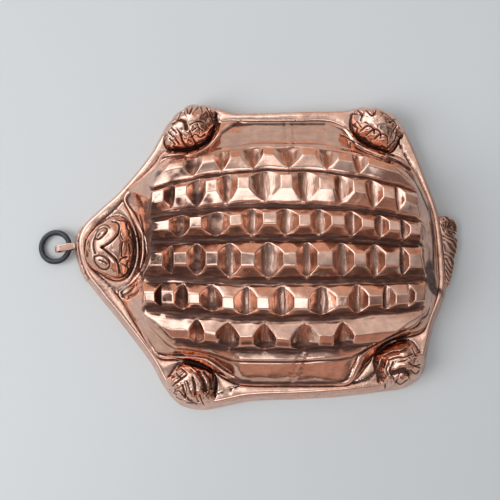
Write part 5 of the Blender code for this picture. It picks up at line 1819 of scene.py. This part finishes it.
# %% [markdown]
# ## Floor, light and camera
#
# Polished metal is a mirror, so the light is mostly a matter of what there is to reflect. A soft studio
# has a large bright window side, a grey ceiling and a darker side where people stand. The world makes
# these from the direction alone: each card is a soft-edged patch of light or shade. One large lamp from
# the window side gives the soft shadow.

# %% The floor
FLOOR_SIZE = 1.6
PAPER_COLOURS = ((0.64, 0.665, 0.68, 1), (0.665, 0.69, 0.705, 1))
# The board is painted darker away from the window, as painted light falloff: the way it falls, where it
# starts and stops, and to what.
PAINTED_FALLOFF_WAY, PAINTED_FALLOFF_START, PAINTED_FALLOFF_STOP, PAINTED_FALLOFF_TO = (0.6, -0.8, 0.0), -0.05, 0.30, 0.87


def build_floor():
    bm = bmesh.new()
    bmesh.ops.create_grid(bm, x_segments=1, y_segments=1, size=FLOOR_SIZE)
    mesh = bpy.data.meshes.new("floor")
    bm.to_mesh(mesh)
    bm.free()
    paper, tree, shader = new_material("pale_board")
    at = own_coordinates(tree)
    shade = mix_colour(tree, cloud(tree, at, 6.0, 3.0), *PAPER_COLOURS)
    # Painted light falloff: the board gets darker away from the window.
    along = vector_maths(tree, "DOT_PRODUCT", at, PAINTED_FALLOFF_WAY).outputs["Value"]
    painted_falloff = ramp(tree, along, PAINTED_FALLOFF_START, PAINTED_FALLOFF_STOP, 1.0, PAINTED_FALLOFF_TO)
    tree.links.new(mix_colour(tree, 1.0, shade, painted_falloff, "MULTIPLY"), shader.inputs["Base Color"])
    shader.inputs["Roughness"].default_value = 0.7
    mesh.materials.append(paper)
    made = bpy.data.objects.new("floor", mesh)
    bpy.context.scene.collection.objects.link(made)
    made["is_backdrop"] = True
    return made


build_floor()

# %% The room that the copper shows
# Each card: azimuth and elevation of its middle, its half height and the softness of its edge in degrees,
# how much wider than high it is, its colour, and how much of it covers what is behind.
CARDS = (
    (90, 3, 14, 12, 3.0, (0.78, 0.55, 0.43), 0.9),
    (180, 12, 18, 12, 1.8, (0.78, 0.83, 0.88), 0.9),
    (0, 4, 17, 9, 2.6, (0.09, 0.065, 0.055), 0.92),
    (270, 38, 11, 5, 2.2, (0.08, 0.04, 0.035), 0.94),
    (270, 15, 9, 4, 3.4, (0.56, 0.39, 0.33), 0.9),
    (270, -3, 7, 4, 3.6, (0.06, 0.035, 0.03), 0.95),
    (203, 18, 7, 5, 1.6, (2.5, 2.9, 3.2), 1.0),
    (135, 36, 16, 9, 1.5, (2.1, 2.5, 2.8), 1.0),
    (62, 60, 12, 7, 1.4, (0.80, 0.84, 0.86), 0.8),
    (252, 60, 8, 4, 1.5, (2.1, 2.5, 2.8), 0.9),
    (95, 80, 4, 3, 1.0, (2.1, 2.3, 2.5), 0.9),
    (186, 71, 6, 3, 1.0, (0.07, 0.055, 0.05), 0.9),
)
ROOM_LOW, ROOM_MIDDLE, ROOM_HIGH = (0.20, 0.17, 0.16), (0.44, 0.46, 0.48), (0.53, 0.60, 0.66)
# What lights matt things, and what the camera sees beyond the floor.
FILL, BEHIND = (0.52, 0.525, 0.53), (0.66, 0.67, 0.68)


def build_world():
    world = bpy.data.worlds.new("soft_studio")
    bpy.context.scene.world = world
    world.use_nodes = True
    tree = world.node_tree
    background = tree.nodes["Background"]
    direction = tree.nodes.new("ShaderNodeTexCoord").outputs["Generated"]
    height = add_node(tree, "ShaderNodeSeparateXYZ", Vector=direction).outputs["Z"]
    room = mix_colour(tree, ramp(tree, height, 0.0, 0.6), (*ROOM_LOW, 1), (*ROOM_MIDDLE, 1))
    room = mix_colour(tree, ramp(tree, height, 0.5, 0.95), room, (*ROOM_HIGH, 1))
    for azimuth, elevation, half, soft, wide, colour, cover in CARDS:
        a, e = math.radians(azimuth), math.radians(elevation)
        towards = Vector((math.cos(a) * math.cos(e), math.sin(a) * math.cos(e), math.sin(e) * wide))
        spread = vector_maths(tree, "MULTIPLY", direction, (1, 1, wide))
        spread = vector_maths(tree, "NORMALIZE", spread.outputs[0])
        facing = vector_maths(tree, "DOT_PRODUCT", spread.outputs[0], towards.normalized())
        outer = math.radians(min((half + soft) * wide, 175))
        inner = math.radians(min(max(1.0, half - soft) * wide, 170))
        mask = ramp(tree, facing.outputs["Value"], math.cos(outer), math.cos(inner), 0.0, cover)
        room = mix_colour(tree, mask, room, (*colour, 1))
    path = tree.nodes.new("ShaderNodeLightPath")
    seen = path.outputs["Is Camera Ray"]
    mirrored = path.outputs["Is Glossy Ray"]
    room = mix_colour(tree, mirrored, (*FILL, 1), room)
    tree.links.new(mix_colour(tree, seen, room, (*BEHIND, 1)), background.inputs["Color"])
    return world


build_world()

# %% The window's lamp
LAMP_TARGET = Vector((0, 0, 0.03))


def add_lamp(name, place, size, energy, colour):
    lamp = bpy.data.lights.new(name, "AREA")
    lamp.energy = energy
    lamp.size = size
    lamp.color = colour
    made = bpy.data.objects.new(name, lamp)
    made.location = place
    made.rotation_euler = (LAMP_TARGET - Vector(place)).to_track_quat("-Z", "Y").to_euler()
    made.visible_glossy = False
    bpy.context.scene.collection.objects.link(made)
    print("lamp", name, "of", energy, "watts")


add_lamp("window", (-1.50, -0.45, 1.50), 1.5, 33.0, (1.0, 0.99, 0.98))

# %% The camera, a little south of straight above
PHOTO_PIXELS = 500
PIXEL_SIZE = 0.78 * MM
CAMERA_DISTANCE = 0.75
CAMERA_TILT = math.radians(8.6)
CAMERA_TARGET = Vector((0.0013, 0.0035, 0.0))


def build_camera():
    data = bpy.data.cameras.new("camera")
    data.sensor_width = 36.0
    data.lens = data.sensor_width * CAMERA_DISTANCE / (PIXEL_SIZE * PHOTO_PIXELS)
    camera = bpy.data.objects.new("camera", data)
    away = Vector((0, -math.sin(CAMERA_TILT), math.cos(CAMERA_TILT)))
    camera.location = CAMERA_TARGET + away * CAMERA_DISTANCE
    camera.rotation_euler = (CAMERA_TILT, 0, 0)
    bpy.context.scene.collection.objects.link(camera)
    bpy.context.scene.camera = camera
    print("lens", round(data.lens, 1), "mm")


build_camera()
bpy.context.scene.view_settings.view_transform = "Standard"

# %% How far the pieces reach beyond the construction model
made_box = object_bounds()
reach = max(max(cad_box[0][i] - made_box[0][i], made_box[1][i] - cad_box[1][i]) for i in range(3))
print("largest reach beyond the construction model, in mm:", round(reach / MM, 2))
